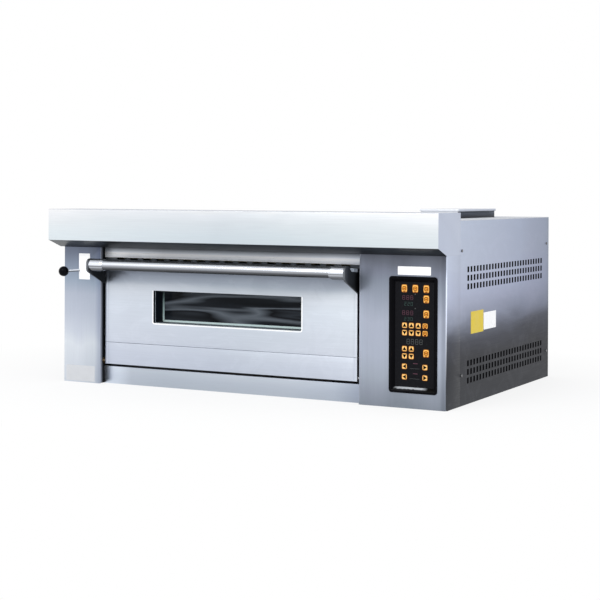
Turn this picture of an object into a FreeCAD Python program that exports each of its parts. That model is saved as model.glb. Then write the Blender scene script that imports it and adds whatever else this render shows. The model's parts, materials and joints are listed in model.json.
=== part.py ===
import FreeCAD, Part
import os

# Single-deck bakery oven: sheet-metal body, drop-down glazed door, canopy hood, control panel
# in the right post, steam damper in the left post. Millimetres, +Z up, +X to the oven's right
# as seen from the front, front towards -Y. Origin: centre of the base's underside.

Vector = FreeCAD.Vector
X_AXIS = Vector(1, 0, 0)
Y_AXIS = Vector(0, 1, 0)
Z_AXIS = Vector(0, 0, 1)

# ---- body -----------------------------------------------------------------------------------
body_width = 1330.0
body_depth = 902.0
body_height = 535.0
sheet = 1.5                   # thickness of every panel
seat_gap = 0.3                # clearance where one piece seats in or against another
left_post_width = 142.0
right_post_width = 273.5
post_depth = 102.0            # how far the posts' side returns run back
centre_recess = 25.0          # rail and fascia behind the posts' front plane
fascia_height = 55.0
pan_flange = 25.0             # upturned edge of the base pan

# ---- canopy hood and the rail under it --------------------------------------------------------
hood_rise = 22.0              # hood top above the body top
hood_face = 99.0              # height of the hood's front face
hood_projection = 64.0        # in front of the posts
hood_overhang = 16.0          # beyond the body's left side only
hood_drop = 22.7              # fall of the sloping underside
hood_ledge = 30.0             # level part of the underside, over the posts and rail
hood_edge_radius = 2.0
rail_face_height = 32.3
rail_lip_height = 9.0
rail_lip_setback = 6.0
rail_slot_length = 31.0
rail_slot_height = 6.5
rail_slot_pitch = 50.0
rail_slot_margin = 50.0       # bare length at each end of the row

# ---- door ------------------------------------------------------------------------------------
door_recess = 15.0            # door face behind the posts' front plane
door_left_gap = 9.0
door_right_gap = 12.0
door_top_gap = 2.0
door_bottom_gap = 8.5
door_pan_depth = 20.0         # outer skin and lower cover
liner_depth = 57.0            # from the back of the pans to the door's back
liner_inset = 6.5             # liner behind the door's edges, at the sides
liner_top_drop = 14.0
liner_bottom_rise = 4.5
lower_cover_height = 69.0
cover_seam = 1.0
edge_groove_inset = 10.0
edge_groove = 0.8
window_width = 526.0
window_height = 102.0
window_rise = 137.5           # above the door's bottom edge
pane_thickness = 4.0
outer_pane_setback = 54.0     # behind the door's face
gasket_depth = 6.0
gasket_width = 10.0
gasket_lap = 2.0              # seal's inner edge outside the chamber mouth

# ---- door hinge ------------------------------------------------------------------------------
hinge_back = 8.0              # hinge axis behind the door's face
hinge_rise = 9.5              # and above its bottom edge
pin_radius = 4.0
pin_fit = 0.05                # radial running clearance in the bushes
pin_reach = 22.0              # into the post
bush_radius = 7.0
bush_collar_radius = 10.0
bush_collar = 1.5
lug_width = 16.0
lug_height = 17.0
spring_wire = 2.5
spring_turns = 5
spring_pitch = 2.9

# ---- handle ----------------------------------------------------------------------------------
handle_radius = 16.0
handle_wall = 1.5
handle_standoff = 74.0        # axis in front of the door's face
handle_drop = 10.0            # axis below the door's top edge
collar_radius = 20.0
collar_length = 50.0
collar_taper = 8.0
bracket_thickness = 6.0
bracket_lap = 18.0            # back along the door's side
bracket_nose = 22.0           # in front of the handle's axis
bracket_rise = 20.0           # above the handle's axis
bracket_heel = 19.0           # straight nose below the handle's axis
bracket_slope = 0.464         # fall of the lower edge towards the door
bracket_nose_radius = 15.0
bracket_crown = 6.0           # level top, behind the handle's axis
bracket_step = 16.0           # slanted fall behind the crown, back and down
bracket_top_fall = 5.0        # from the step to the door's face

# ---- baking chamber --------------------------------------------------------------------------
chamber_side_margin = 32.25   # chamber wall inside the posts
service_depth = 106.7         # between the insulation and the rear panel's outside
chamber_floor_height = 106.5
chamber_top_drop = 73.3       # chamber ceiling below the posts' top
stone_height = 15.0
stone_lift = 28.5             # underside of the stone above the chamber floor
stone_joint = 1.0
element_radius = 4.0
element_fit = 0.25
element_pairs = 4
element_spread = 60.0         # between the two legs of a hairpin
element_wall_gap = 12.0       # centreline from the ceiling or the floor
element_end_margin = 30.0
element_tail = 20.0           # terminal length outside the insulation
rack_thickness = 4.0
insulation_side = 60.0
insulation_top = 50.0
insulation_back = 40.0
insulation_bottom = 60.0
lamp_radius = 24.0
lamp_lens_radius = 29.0
lamp_lens = 4.0
lamp_back = 150.0             # behind the chamber mouth
lamp_drop = 70.0              # below the chamber ceiling

# ---- steam: damper, duct, generator, water valve -----------------------------------------------
damper_inset = 57.0           # rod from the body's left side
damper_drop = 75.3            # rod below the posts' top
rod_radius = 4.0
rod_fit = 0.1
knob_radius = 16.0
knob_flat = 1.0               # depth of the flat the rod butts on
rod_standout = 65.0           # rod's tip in front of the post
damper_travel = 47.0
gate_thickness = 2.0
gate_margin = 1.0
duct_half_width = 28.0
duct_front = 248.0            # duct's closed end behind the posts' front plane
duct_rise = 32.0              # duct top above the rod
duct_fall = 38.0
port_back = 52.0              # port behind the duct's closed end
port_length = 45.0
port_height = 30.0
generator_size = Vector(400.0, 50.0, 200.0)
generator_height = 60.0
generator_shift = -100.0
generator_leg = 16.0
steam_pipe_radius = 8.0
valve_x = 300.0
valve_height = 100.0
valve_size = Vector(60.0, 40.0, 50.0)
inlet_radius = 13.22          # 3/4 inch hose thread, outside
inlet_thread = 12.0
shank_radius = 14.5           # plain shank through the rear panel
shank_inside = 22.0
inlet_nut = 20.5              # over the corners, half
inlet_nut_depth = 6.0
water_pipe_radius = 5.0

# ---- control panel ---------------------------------------------------------------------------
panel_inset = 28.0            # bezel from the body's right side
panel_bottom = 43.3
bezel_width = 149.0
bezel_height = 332.0
bezel_lip = 7.0
bezel_flange = 4.0            # flange outside the hole in the post
bezel_proud = 2.0
bezel_corner = 9.0
fascia_width = 120.0
fascia_tall = 300.0
fascia_back = 10.0            # key fascia behind the posts' front plane
fascia_pocket = 1.0           # fascia held this far under the bezel's inner edge
key_clearance = 0.4
key_proud = 1.0
key_travel = 0.5
key_depth = 2.5
key_stem_radius = 3.0
key_corner = 1.5
board_gap = 4.5
board_thickness = 1.6
board_margin = 3.0
board_post_radius = 2.5
tall_key = (19.5, 25.0)
square_key = (17.5, 17.5)
tall_key_gap = 14.4
square_key_gap = 3.6
tall_keys_shift = 2.4         # middle of the tall keys' columns from the fascia's middle
square_keys_shift = 1.3
mode_row = 131.3              # rows from the fascia's middle
timer_row = 102.3
steam_row = 59.8
arrow_row = 15.4
fine_row = -51.3
step_row = -106.1
step_row_gap = 12.3

# ---- electrical compartment --------------------------------------------------------------------
plate_gap = 14.0              # mounting plate from the insulation
plate_y = (200.0, 700.0)
plate_height = 380.0
plate_foot = 40.0
rail_depth = 7.5
rail_width = 35.0
contactor_size = (75.0, 45.0, 80.0)
contactor_count = 3
contactor_pitch = 60.0
terminal_size = (40.0, 200.0, 45.0)
gland_x = 520.0
gland_height = 90.0
gland_bore = 10.0
gland_radius = 14.0
gland_nut = 20.0
gland_nut_depth = 9.0
gland_inside = 12.0

# ---- vents, screws, mounting holes -------------------------------------------------------------
slot_pitch = 25.4
slot_width = 14.0
slot_height = 17.0
slot_front = 62.0             # first slot centre behind the panel's front edge
slot_rear = 77.0              # at least this far from the rear
slot_row_pitch = 25.0
slot_rows = 3
slot_low = 68.5               # lowest row centre
slot_high_drop = 143.5        # highest row centre below the body top
grille_slot = 3.0             # steam outlet slots in the rear panel
grille_pitch = 9.0
screw_radius = 2.1
screw_fit = 0.1
screw_head_radius = 4.5
screw_head = 2.2
screw_length = 9.0
screw_front = 11.5            # screws behind the side panels' front edges
screw_rear = 22.4
screw_low = 88.0
screw_top_drop = 88.0
cowl_left = 410.0             # vent cowl on the top, from the middle of the body
cowl_width = 130.0
cowl_front = 400.0
cowl_length = 330.0
cowl_height = 28.5
cowl_rim = 7.5
cowl_overhang = 3.0
cowl_slot_pitch = 22.0
cowl_slot_width = 12.0
foot_inset = 60.0
foot_hole_radius = 5.5

# ---- places worked out from the sizes above ----------------------------------------------------
front = -body_depth / 2
rear = body_depth / 2
left = -body_width / 2
right = body_width / 2
left_jamb = left + left_post_width
right_jamb = right - right_post_width
post_back = front + post_depth

hood_top = body_height + hood_rise
hood_lip = hood_top - hood_face
post_top = hood_lip - hood_drop
rail_face_low = post_top - rail_face_height
rail_low = rail_face_low - rail_lip_height
recess = front + centre_recess

door_face = front + door_recess
door_left = left_jamb + door_left_gap
door_right = right_jamb - door_right_gap
door_middle = (door_left + door_right) / 2
door_low = fascia_height + door_bottom_gap
door_top = rail_low - door_top_gap
pan_back = door_face + door_pan_depth
door_back = pan_back + liner_depth
liner_left = door_left + liner_inset
liner_right = door_right - liner_inset
liner_low = door_low + liner_bottom_rise
liner_top = door_top - liner_top_drop
window_left = door_middle - window_width / 2
window_right = door_middle + window_width / 2
window_low = door_low + window_rise
window_top = window_low + window_height
hinge_y = door_face + hinge_back
hinge_z = door_low + hinge_rise
handle_y = door_face - handle_standoff
handle_z = door_top - handle_drop

mouth = door_back + gasket_depth + seat_gap
chamber_left = left_jamb + chamber_side_margin
chamber_right = right_jamb - chamber_side_margin
chamber_floor = chamber_floor_height
chamber_top = post_top - chamber_top_drop
insulation_rear = rear - service_depth
chamber_back = insulation_rear - insulation_back
stone_low = chamber_floor + stone_lift
stone_top = stone_low + stone_height
upper_element_z = chamber_top - element_wall_gap
lower_element_z = chamber_floor + element_wall_gap
element_pitch = (chamber_back - mouth) / element_pairs

damper_x = left + damper_inset
damper_z = post_top - damper_drop
duct_left = damper_x - duct_half_width
duct_right = damper_x + duct_half_width
duct_start = front + duct_front
duct_low = damper_z - duct_fall
duct_top = damper_z + duct_rise
port_start = duct_start + port_back
port_end = port_start + port_length
port_low = duct_low + 2 * sheet
port_top = port_low + port_height

insulation_left = duct_right + seat_gap
insulation_right = chamber_right + insulation_side
insulation_front = post_back + 1.0
insulation_low = chamber_floor - insulation_bottom
insulation_high = chamber_top + insulation_top

lamp_y = mouth + lamp_back
lamp_z = chamber_top - lamp_drop
steam_z = generator_height + generator_size.z * 0.75

panel_right = right - panel_inset
panel_middle_x = panel_right - bezel_width / 2
panel_middle_z = panel_bottom + bezel_height / 2
fascia_front = front + fascia_back
board_front = fascia_front + sheet + board_gap

# ---- key layout: name, column and row from the fascia's middle, and which of the two sizes -----
square_pitch = square_key[0] + square_key_gap
square_rise = (square_key[1] + square_key_gap) / 2
step_rise = (square_key[1] + step_row_gap) / 2
tall_columns = [tall_keys_shift + i * (tall_key[0] + tall_key_gap) for i in (-1, 0, 1)]
square_columns = [square_keys_shift + i * square_pitch for i in (-1.5, -0.5, 0.5, 1.5)]
arrow_rows = {"up": arrow_row + square_rise, "down": arrow_row - square_rise}
fine_rows = {"up": fine_row + square_rise, "down": fine_row - square_rise}
step_rows = {"upper": step_row + step_rise, "lower": step_row - step_rise}
key_layout = [
    ("key_power", tall_columns[0], mode_row, tall_key),
    ("key_program", tall_columns[1], mode_row, tall_key),
    ("key_lamp", tall_columns[2], mode_row, tall_key),
    ("key_timer", tall_columns[2], timer_row, tall_key),
    ("key_steam", tall_columns[2], steam_row, tall_key),
    ("key_start", tall_columns[2], fine_row, tall_key),
]
for direction, row in arrow_rows.items():
    for number, column in enumerate(square_columns, 1):
        key_layout.append((f"key_{direction}_{number}", column, row, square_key))
for direction, row in fine_rows.items():
    for number, column in enumerate(square_columns[:2], 1):
        key_layout.append((f"key_fine_{direction}_{number}", column, row, square_key))
for level, row in step_rows.items():
    for side, column in (("left", square_columns[0]), ("right", square_columns[3])):
        key_layout.append((f"key_{level}_{side}", column, row, square_key))


# ---- helpers -----------------------------------------------------------------------------------
def box(x0, x1, y0, y1, z0, z1):
    return Part.makeBox(x1 - x0, y1 - y0, z1 - z0, Vector(x0, y0, z0))


def cylinder(radius, start, direction, length):
    return Part.makeCylinder(radius, length, start, direction)


def ring(outer, inner, start, direction, length):
    return cylinder(outer, start, direction, length).cut(cylinder(inner, start, direction, length))


def prism(points, x0, x1):
    """Extrude a closed outline of (y, z) points from x0 to x1."""
    corners = [Vector(x0, y, z) for y, z in points]
    face = Part.Face(Part.makePolygon(corners + corners[:1]))
    return face.extrude(Vector(x1 - x0, 0, 0))


def nut(radius, centre, depth):
    """A hexagon across X and Z, radius over its corners, that stands out towards the rear."""
    spokes = [FreeCAD.Rotation(Y_AXIS, 60 * index).multVec(X_AXIS * radius) for index in range(7)]
    outline = Part.makePolygon([centre + spoke for spoke in spokes])
    return Part.Face(outline).extrude(Y_AXIS * depth)


def fuse(*shapes):
    return shapes[0].fuse(list(shapes[1:])).removeSplitter()


def rounded_plate(x0, x1, y0, y1, z0, z1, radius):
    """A plate facing the front, with its four corners rounded."""
    plate = box(x0, x1, y0, y1, z0, z1)
    corners = [edge for edge in plate.Edges if abs(edge.BoundBox.YLength - (y1 - y0)) < 1e-6]
    return plate.makeFillet(radius, corners)


def save(name, *solids):
    shape = solids[0] if len(solids) == 1 else Part.makeCompound(list(solids))
    shape.exportStep(f"parts/{name}.step")


def screw_places_side():
    ys = (post_back + screw_front, rear - screw_rear)
    zs = (screw_low, body_height - screw_top_drop)
    return [(y, z) for y in ys for z in zs]


def screw_places_rear():
    xs = (left + screw_rear, 0.0, right - screw_rear)
    zs = (screw_low / 2, body_height - screw_top_drop / 2)
    return [(x, z) for x in xs for z in zs]


def slot_row_heights():
    low = [slot_low + row * slot_row_pitch for row in range(slot_rows)]
    high = [body_height - slot_high_drop - row * slot_row_pitch for row in range(slot_rows)]
    return low + high


# ---- casing --------------------------------------------------------------------------------------
def base_pan():
    x0, x1 = left + sheet, right - sheet
    y0, y1 = recess + sheet, rear - sheet
    floor = box(x0, x1, y0, y1, 0, sheet)
    flanges = [
        box(x0, x0 + sheet, post_back, y1, 0, pan_flange),
        box(x1 - sheet, x1, post_back, y1, 0, pan_flange),
        box(x0, x1, y1 - sheet, y1, 0, pan_flange),
    ]
    holes = [
        cylinder(foot_hole_radius, Vector(x, y, 0), Z_AXIS, sheet)
        for x in (left + foot_inset, right - foot_inset)
        for y in (post_back + foot_inset, rear - foot_inset)
    ]
    return fuse(floor, *flanges).cut(holes)


def side_panel(x0):
    panel = box(x0, x0 + sheet, post_back, rear, 0, body_height - sheet)
    first_slot = post_back + slot_front
    count = int((rear - slot_rear - first_slot) / slot_pitch) + 1
    cuts = []
    for z in slot_row_heights():
        for column in range(count):
            y = first_slot + column * slot_pitch
            cuts.append(box(x0, x0 + sheet, y - slot_width / 2, y + slot_width / 2,
                            z - slot_height / 2, z + slot_height / 2))
    for y, z in screw_places_side():
        cuts.append(cylinder(screw_radius + screw_fit, Vector(x0, y, z), X_AXIS, sheet))
    return panel.cut(cuts)


def rear_panel():
    panel = box(left + sheet, right - sheet, rear - sheet, rear, 0, body_height - sheet)
    cuts = [
        cylinder(gland_radius + rod_fit, Vector(gland_x, rear - sheet, gland_height), Y_AXIS, sheet),
        cylinder(shank_radius + rod_fit, Vector(valve_x, rear - sheet, valve_height), Y_AXIS, sheet),
    ]
    for x, z in screw_places_rear():
        cuts.append(cylinder(screw_radius + screw_fit, Vector(x, rear - sheet, z), Y_AXIS, sheet))
    grille_rows = int((duct_top - duct_low) / grille_pitch)
    for row in range(grille_rows):
        z = duct_low + (row + 0.5) * (duct_top - duct_low) / grille_rows
        cuts.append(box(duct_left + 2 * sheet, duct_right - 2 * sheet, rear - sheet, rear,
                        z - grille_slot / 2, z + grille_slot / 2))
    return panel.cut(cuts)


def top_panel():
    panel = box(left, right, post_back, rear, body_height - sheet, body_height)
    margin = cowl_overhang + 2 * sheet
    count = int((cowl_length - 2 * margin) / cowl_slot_pitch)
    slots = []
    for index in range(count):
        y = front + cowl_front + cowl_length / 2 + (index - (count - 1) / 2) * cowl_slot_pitch
        slots.append(box(cowl_left + margin, cowl_left + cowl_width - margin,
                         y - cowl_slot_width / 2, y + cowl_slot_width / 2,
                         body_height - sheet, body_height))
    return panel.cut(slots)


def post(outer_side, jamb, inward):
    """Front plate with an outer return and an inner return; inward is +1 on the left post."""
    low, high = sorted((outer_side, jamb))
    plate = box(low, high, front, front + sheet, 0, post_top)
    outer = sorted((outer_side, outer_side + inward * sheet))
    inner = sorted((jamb, jamb - inward * sheet))
    outer_return = box(*outer, front, post_back, 0, post_top)
    inner_return = box(*inner, front, post_back, sheet, post_top)
    bush_hole = cylinder(bush_radius + pin_fit, Vector(inner[0], hinge_y, hinge_z), X_AXIS, sheet)
    return fuse(plate, outer_return, inner_return).cut(bush_hole)


def left_front_post():
    rod_hole = cylinder(rod_radius + rod_fit, Vector(damper_x, front, damper_z), Y_AXIS, sheet)
    return post(left, left_jamb, 1).cut(rod_hole)


def right_front_post():
    inset = bezel_flange - seat_gap
    hole = box(panel_right - bezel_width + inset, panel_right - inset, front, front + sheet,
               panel_bottom + inset, panel_bottom + bezel_height - inset)
    return post(right, right_jamb, -1).cut(hole)


def canopy_hood():
    nose = front - hood_projection
    x0, x1 = left - hood_overhang, right
    outer = prism([(post_back, hood_top), (nose, hood_top), (nose, hood_lip),
                   (front, post_top), (post_back, post_top)], x0, x1)
    top_edge = [edge for edge in outer.Edges
                if edge.BoundBox.XLength > body_width / 2
                and abs(edge.BoundBox.YMax - nose) < 0.1 and abs(edge.BoundBox.ZMax - hood_top) < 0.1]
    outer = outer.makeFillet(hood_edge_radius, top_edge)
    hollow = prism([(post_back - sheet, hood_top - sheet), (nose + sheet, hood_top - sheet),
                    (nose + sheet, hood_lip + sheet), (front, post_top + sheet),
                    (post_back - sheet, post_top + sheet)], x0 + sheet, x1 - sheet)
    floor_opening = box(left + sheet, x1 - sheet, front + hood_ledge, post_back - sheet,
                        post_top, post_top + sheet)
    back_opening = box(left + sheet, x1 - sheet, post_back - sheet, post_back,
                       post_top, body_height - 2 * sheet)
    return outer.cut([hollow, floor_opening, back_opening])


def upper_front_rail():
    lip = recess + rail_lip_setback
    face = box(left_jamb, right_jamb, recess, recess + sheet, rail_face_low, post_top)
    step = box(left_jamb, right_jamb, recess, lip + sheet, rail_face_low, rail_face_low + sheet)
    lip_plate = box(left_jamb, right_jamb, lip, lip + sheet, rail_low, rail_face_low)
    floor = box(left_jamb, right_jamb, lip, mouth, rail_low, rail_low + sheet)
    length = right_jamb - left_jamb
    count = int((length - 2 * rail_slot_margin) / rail_slot_pitch) + 1
    middle = (rail_low + sheet + rail_face_low) / 2
    slots = []
    for index in range(count):
        x = (left_jamb + right_jamb) / 2 + (index - (count - 1) / 2) * rail_slot_pitch
        slots.append(box(x - rail_slot_length / 2, x + rail_slot_length / 2, lip, lip + sheet,
                         middle - rail_slot_height / 2, middle + rail_slot_height / 2))
    return fuse(face, step, lip_plate, floor).cut(slots)


def bottom_fascia():
    face = box(left_jamb, right_jamb, recess, recess + sheet, 0, fascia_height)
    sill = box(left_jamb, right_jamb, recess, mouth, fascia_height - sheet, fascia_height)
    return fuse(face, sill)


def vent_cowl():
    x0, x1 = cowl_left + cowl_overhang, cowl_left + cowl_width - cowl_overhang
    y0 = front + cowl_front + cowl_overhang
    y1 = front + cowl_front + cowl_length - cowl_overhang
    z0, z1 = body_height, body_height + cowl_height
    walls = box(x0, x1, y0, y1, z0, z1 - cowl_rim)
    lid = box(cowl_left, cowl_left + cowl_width, front + cowl_front,
              front + cowl_front + cowl_length, z1 - cowl_rim, z1)
    hollow = box(x0 + sheet, x1 - sheet, y0 + sheet, y1 - sheet, z0, z1 - sheet)
    count = int((x1 - x0) / cowl_slot_pitch)
    slot_z = (z0 + z1 - cowl_rim) / 2
    slots = []
    for index in range(count):
        x = (x0 + x1) / 2 + (index - (count - 1) / 2) * cowl_slot_pitch
        slots.append(box(x - cowl_slot_width / 2, x + cowl_slot_width / 2, y1 - sheet, y1,
                         slot_z - cowl_rim / 2, slot_z + cowl_rim / 2))
    return fuse(walls, lid).cut([hollow] + slots)


def screw(tip, direction):
    """A pan-head screw; tip is on the panel's outer face and direction points outwards."""
    head = cylinder(screw_head_radius, tip, direction, screw_head)
    rim = [edge for edge in head.Edges
           if edge.Closed and edge.CenterOfMass.distanceToPoint(tip) > screw_head / 2]
    head = head.makeFillet(screw_head / 2, rim)
    shank = cylinder(screw_radius, tip - direction * screw_length, direction, screw_length)
    return fuse(head, shank)


def panel_screws():
    screws = [screw(Vector(right, y, z), X_AXIS) for y, z in screw_places_side()]
    screws += [screw(Vector(left, y, z), X_AXIS * -1) for y, z in screw_places_side()]
    screws += [screw(Vector(x, rear, z), Y_AXIS) for x, z in screw_places_rear()]
    return screws


# ---- door ------------------------------------------------------------------------------------
def door_pan(z0, z1):
    """A shallow sheet pan, open at the back, with a fine groove near each side edge."""
    pan = box(door_left, door_right, door_face, pan_back, z0, z1)
    hollow = box(door_left + sheet, door_right - sheet, door_face + sheet, pan_back,
                 z0 + sheet, z1 - sheet)
    grooves = [box(x, x + edge_groove, door_face, door_face + edge_groove, z0, z1)
               for x in (door_left + edge_groove_inset, door_right - edge_groove_inset - edge_groove)]
    return pan.cut([hollow] + grooves)


def door_outer_skin():
    window = box(window_left, window_right, door_face, door_face + sheet, window_low, window_top)
    return door_pan(door_low + lower_cover_height + cover_seam, door_top).cut(window)


def door_lower_cover():
    cover = door_pan(door_low, door_low + lower_cover_height)
    pin_hole = cylinder(pin_radius + pin_fit, Vector(door_left, hinge_y, hinge_z), X_AXIS,
                        door_right - door_left)
    return cover.cut(pin_hole)


def door_inner_liner():
    flange = box(door_left, door_right, pan_back, pan_back + sheet, door_low, door_top)
    shell = box(liner_left, liner_right, pan_back, door_back, liner_low, liner_top)
    tunnel = box(window_left - sheet, window_right + sheet, door_face + sheet, door_back,
                 window_low - sheet, window_top + sheet)
    hollow = box(liner_left + sheet, liner_right - sheet, pan_back, door_back - sheet,
                 liner_low + sheet, liner_top - sheet)
    window = box(window_left, window_right, door_face, door_back, window_low, window_top)
    return fuse(fuse(flange, shell).cut(hollow), tunnel).cut(window)


def door_glass_panes():
    inner_pane_back = door_back - sheet
    starts = (door_face + outer_pane_setback, inner_pane_back - pane_thickness)
    return [box(window_left + seat_gap, window_right - seat_gap, y, y + pane_thickness,
                window_low + seat_gap, window_top - seat_gap) for y in starts]


def frame_ring(lap, y0, y1):
    """A rectangular ring around the chamber mouth, lap outside the mouth's edge."""
    return box(chamber_left - lap, chamber_right + lap, y0, y1, chamber_floor - lap,
               chamber_top + lap)


def door_gasket():
    y1 = door_back + gasket_depth
    return frame_ring(gasket_lap + gasket_width, door_back, y1).cut(frame_ring(gasket_lap, door_back, y1))


def hinge_pins():
    pins = []
    for edge, gap, outward in ((door_left, door_left_gap, -1), (door_right, door_right_gap, 1)):
        inner_edge = edge - outward * sheet
        lug = box(*sorted((inner_edge, inner_edge - outward * lug_width)),
                  door_face + sheet, pan_back, door_low + sheet, door_low + sheet + lug_height)
        pin = cylinder(pin_radius, Vector(inner_edge, hinge_y, hinge_z), X_AXIS * outward,
                       sheet + gap + pin_reach)
        pins.append(fuse(lug, pin))
    return pins


def hinge_bushes():
    bushes = []
    for jamb, outward in ((left_jamb, -1), (right_jamb, 1)):
        face = Vector(jamb, hinge_y, hinge_z)
        sleeve = cylinder(bush_radius, face, X_AXIS * outward, pin_reach)
        collar = cylinder(bush_collar_radius, face, X_AXIS * -outward, bush_collar)
        bore = cylinder(pin_radius + pin_fit, face - X_AXIS * (outward * bush_collar),
                        X_AXIS * outward, pin_reach + bush_collar)
        bushes.append(fuse(sleeve, collar).cut(bore))
    return bushes


def door_springs():
    """Torsion springs that carry part of the door's weight, one round each bush."""
    radius = bush_radius + seat_gap + spring_wire / 2
    springs = []
    for jamb, outward in ((left_jamb, -1), (right_jamb, 1)):
        helix = Part.makeHelix(spring_pitch, spring_pitch * spring_turns, radius)
        wire_circle = Part.Wire(Part.makeCircle(spring_wire / 2, Vector(radius, 0, 0), Y_AXIS))
        coil = Part.Wire(helix.Edges).makePipeShell([wire_circle], True, True)
        coil.rotate(Vector(0, 0, 0), Y_AXIS, 90 * outward)
        coil.translate(Vector(jamb + outward * (sheet + spring_wire / 2 + seat_gap), hinge_y, hinge_z))
        springs.append(coil)
    return springs


def handle_tube():
    length = door_right - door_left
    start = Vector(door_left, handle_y, handle_z)
    tube = ring(handle_radius, handle_radius - handle_wall, start, X_AXIS, length)
    pieces = [tube]
    for x, inward in ((door_left, 1), (door_right, -1)):
        end = Vector(x, handle_y, handle_z)
        direction = X_AXIS * inward
        straight = collar_length - collar_taper
        body = cylinder(collar_radius, end, direction, straight)
        taper = Part.makeCone(collar_radius, handle_radius + sheet, collar_taper,
                              end + direction * straight, direction)
        bore = cylinder(handle_radius + pin_fit, end, direction, collar_length)
        pieces.append(fuse(body, taper).cut(bore))
    return pieces


def handle_brackets():
    nose = handle_y - bracket_nose
    heel = handle_z - bracket_heel
    toe = heel - bracket_slope * (door_face - nose)
    top = handle_z + bracket_rise
    crown = handle_y + bracket_crown
    shoulder = top - bracket_step
    outline = [(door_face + bracket_lap, toe), (door_face, toe), (nose, heel), (nose, top),
               (crown, top), (crown + bracket_step, shoulder),
               (door_face, shoulder - bracket_top_fall),
               (door_face + bracket_lap, shoulder - bracket_top_fall)]
    brackets = []
    for x0 in (door_left - bracket_thickness, door_right):
        plate = prism(outline, x0, x0 + bracket_thickness)
        nose_edges = [edge for edge in plate.Edges
                      if abs(edge.BoundBox.XLength - bracket_thickness) < 1e-6
                      and edge.BoundBox.YMax < nose + 1e-6]
        brackets.append(plate.makeFillet(bracket_nose_radius, nose_edges))
    return brackets


# ---- baking chamber ----------------------------------------------------------------------------
def element_rows():
    """Y of the middle of each hairpin element."""
    return [mouth + (index + 0.5) * element_pitch for index in range(element_pairs)]


def element_legs(z):
    return [(y + side * element_spread / 2, z) for y in element_rows() for side in (-1, 1)]


def leg_holes(legs, x0, x1):
    return [cylinder(element_radius + element_fit, Vector(x0, y, z), X_AXIS, x1 - x0) for y, z in legs]


def all_legs():
    return element_legs(upper_element_z) + element_legs(lower_element_z)


def steam_pipe_hole(y0, y1, radius):
    return cylinder(radius, Vector(generator_shift, y0, steam_z), Y_AXIS, y1 - y0)


def baking_chamber():
    face_plate = box(left_jamb, right_jamb, mouth, mouth + sheet, fascia_height, rail_low)
    shell = box(chamber_left - sheet, chamber_right + sheet, mouth, chamber_back + sheet,
                chamber_floor - sheet, chamber_top + sheet)
    hollow = box(chamber_left, chamber_right, mouth, chamber_back, chamber_floor, chamber_top)
    racks = []
    quarter = (chamber_right - chamber_left) / 4
    rack_start, rack_end = mouth + 2 * sheet, chamber_back
    for x in (chamber_left + quarter, chamber_right - quarter):
        x0, x1 = x - rack_thickness / 2, x + rack_thickness / 2
        racks.append(box(x0, x1, rack_start, rack_end, chamber_floor, stone_low))
        racks.append(box(x0, x1, rack_start, rack_end,
                         upper_element_z - 2 * element_radius, chamber_top))
    ledges = [
        box(chamber_left, chamber_left + 2 * rack_thickness, rack_start, rack_end,
            stone_low - rack_thickness, stone_low),
        box(chamber_right - 2 * rack_thickness, chamber_right, rack_start, rack_end,
            stone_low - rack_thickness, stone_low),
    ]
    body = fuse(fuse(face_plate, shell).cut(hollow), *racks, *ledges)
    cuts = leg_holes(all_legs(), chamber_left + 1, chamber_right + sheet)
    cuts.append(cylinder(lamp_radius + seat_gap, Vector(chamber_right, lamp_y, lamp_z), X_AXIS, sheet))
    cuts.append(steam_pipe_hole(chamber_back, chamber_back + sheet, steam_pipe_radius + seat_gap))
    cuts.append(box(chamber_left - sheet, chamber_left, port_start, port_end, port_low, port_top))
    return body.cut(cuts)


def hearth_stone():
    width = (chamber_right - chamber_left - stone_joint) / 2 - seat_gap
    y0, y1 = mouth + 2 * sheet, chamber_back - 2 * seat_gap
    starts = (chamber_left + seat_gap, chamber_right - seat_gap - width)
    return [box(x, x + width, y0, y1, stone_low, stone_top) for x in starts]


def insulation():
    block = box(insulation_left, insulation_right, insulation_front, insulation_rear,
                insulation_low, insulation_high)
    cavity = box(chamber_left - sheet, chamber_right + sheet, insulation_front,
                 chamber_back + sheet, chamber_floor - sheet, chamber_top + sheet)
    cuts = leg_holes(all_legs(), chamber_right, insulation_right)
    cuts.append(cylinder(lamp_radius + seat_gap, Vector(chamber_right, lamp_y, lamp_z), X_AXIS,
                         insulation_side))
    cuts.append(steam_pipe_hole(chamber_back, insulation_rear, steam_pipe_radius + seat_gap))
    cuts.append(box(insulation_left, chamber_left, port_start - sheet - seat_gap,
                    port_end + sheet + seat_gap, port_low - sheet - seat_gap,
                    port_top + sheet + seat_gap))
    return block.cut([cavity] + cuts)


def heating_elements(z):
    """Hairpins whose bend is at the chamber's left and whose tails leave at its right."""
    bend_x = chamber_left + element_end_margin + element_spread / 2
    tail_x = insulation_right + element_tail
    hairpins = []
    for y in element_rows():
        legs = [cylinder(element_radius, Vector(bend_x, y + side * element_spread / 2, z), X_AXIS,
                         tail_x - bend_x) for side in (-1, 1)]
        bend = Part.makeTorus(element_spread / 2, element_radius, Vector(bend_x, y, z), Z_AXIS,
                              -180, 180, 180)
        bend.rotate(Vector(bend_x, y, z), Z_AXIS, 90)
        hairpins.append(fuse(bend, *legs))
    return hairpins


def chamber_lamp():
    wall = Vector(chamber_right, lamp_y, lamp_z)
    body = cylinder(lamp_radius, wall, X_AXIS, insulation_side + element_tail)
    lens = cylinder(lamp_lens_radius, wall - X_AXIS * lamp_lens, X_AXIS, lamp_lens)
    return body, lens


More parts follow.
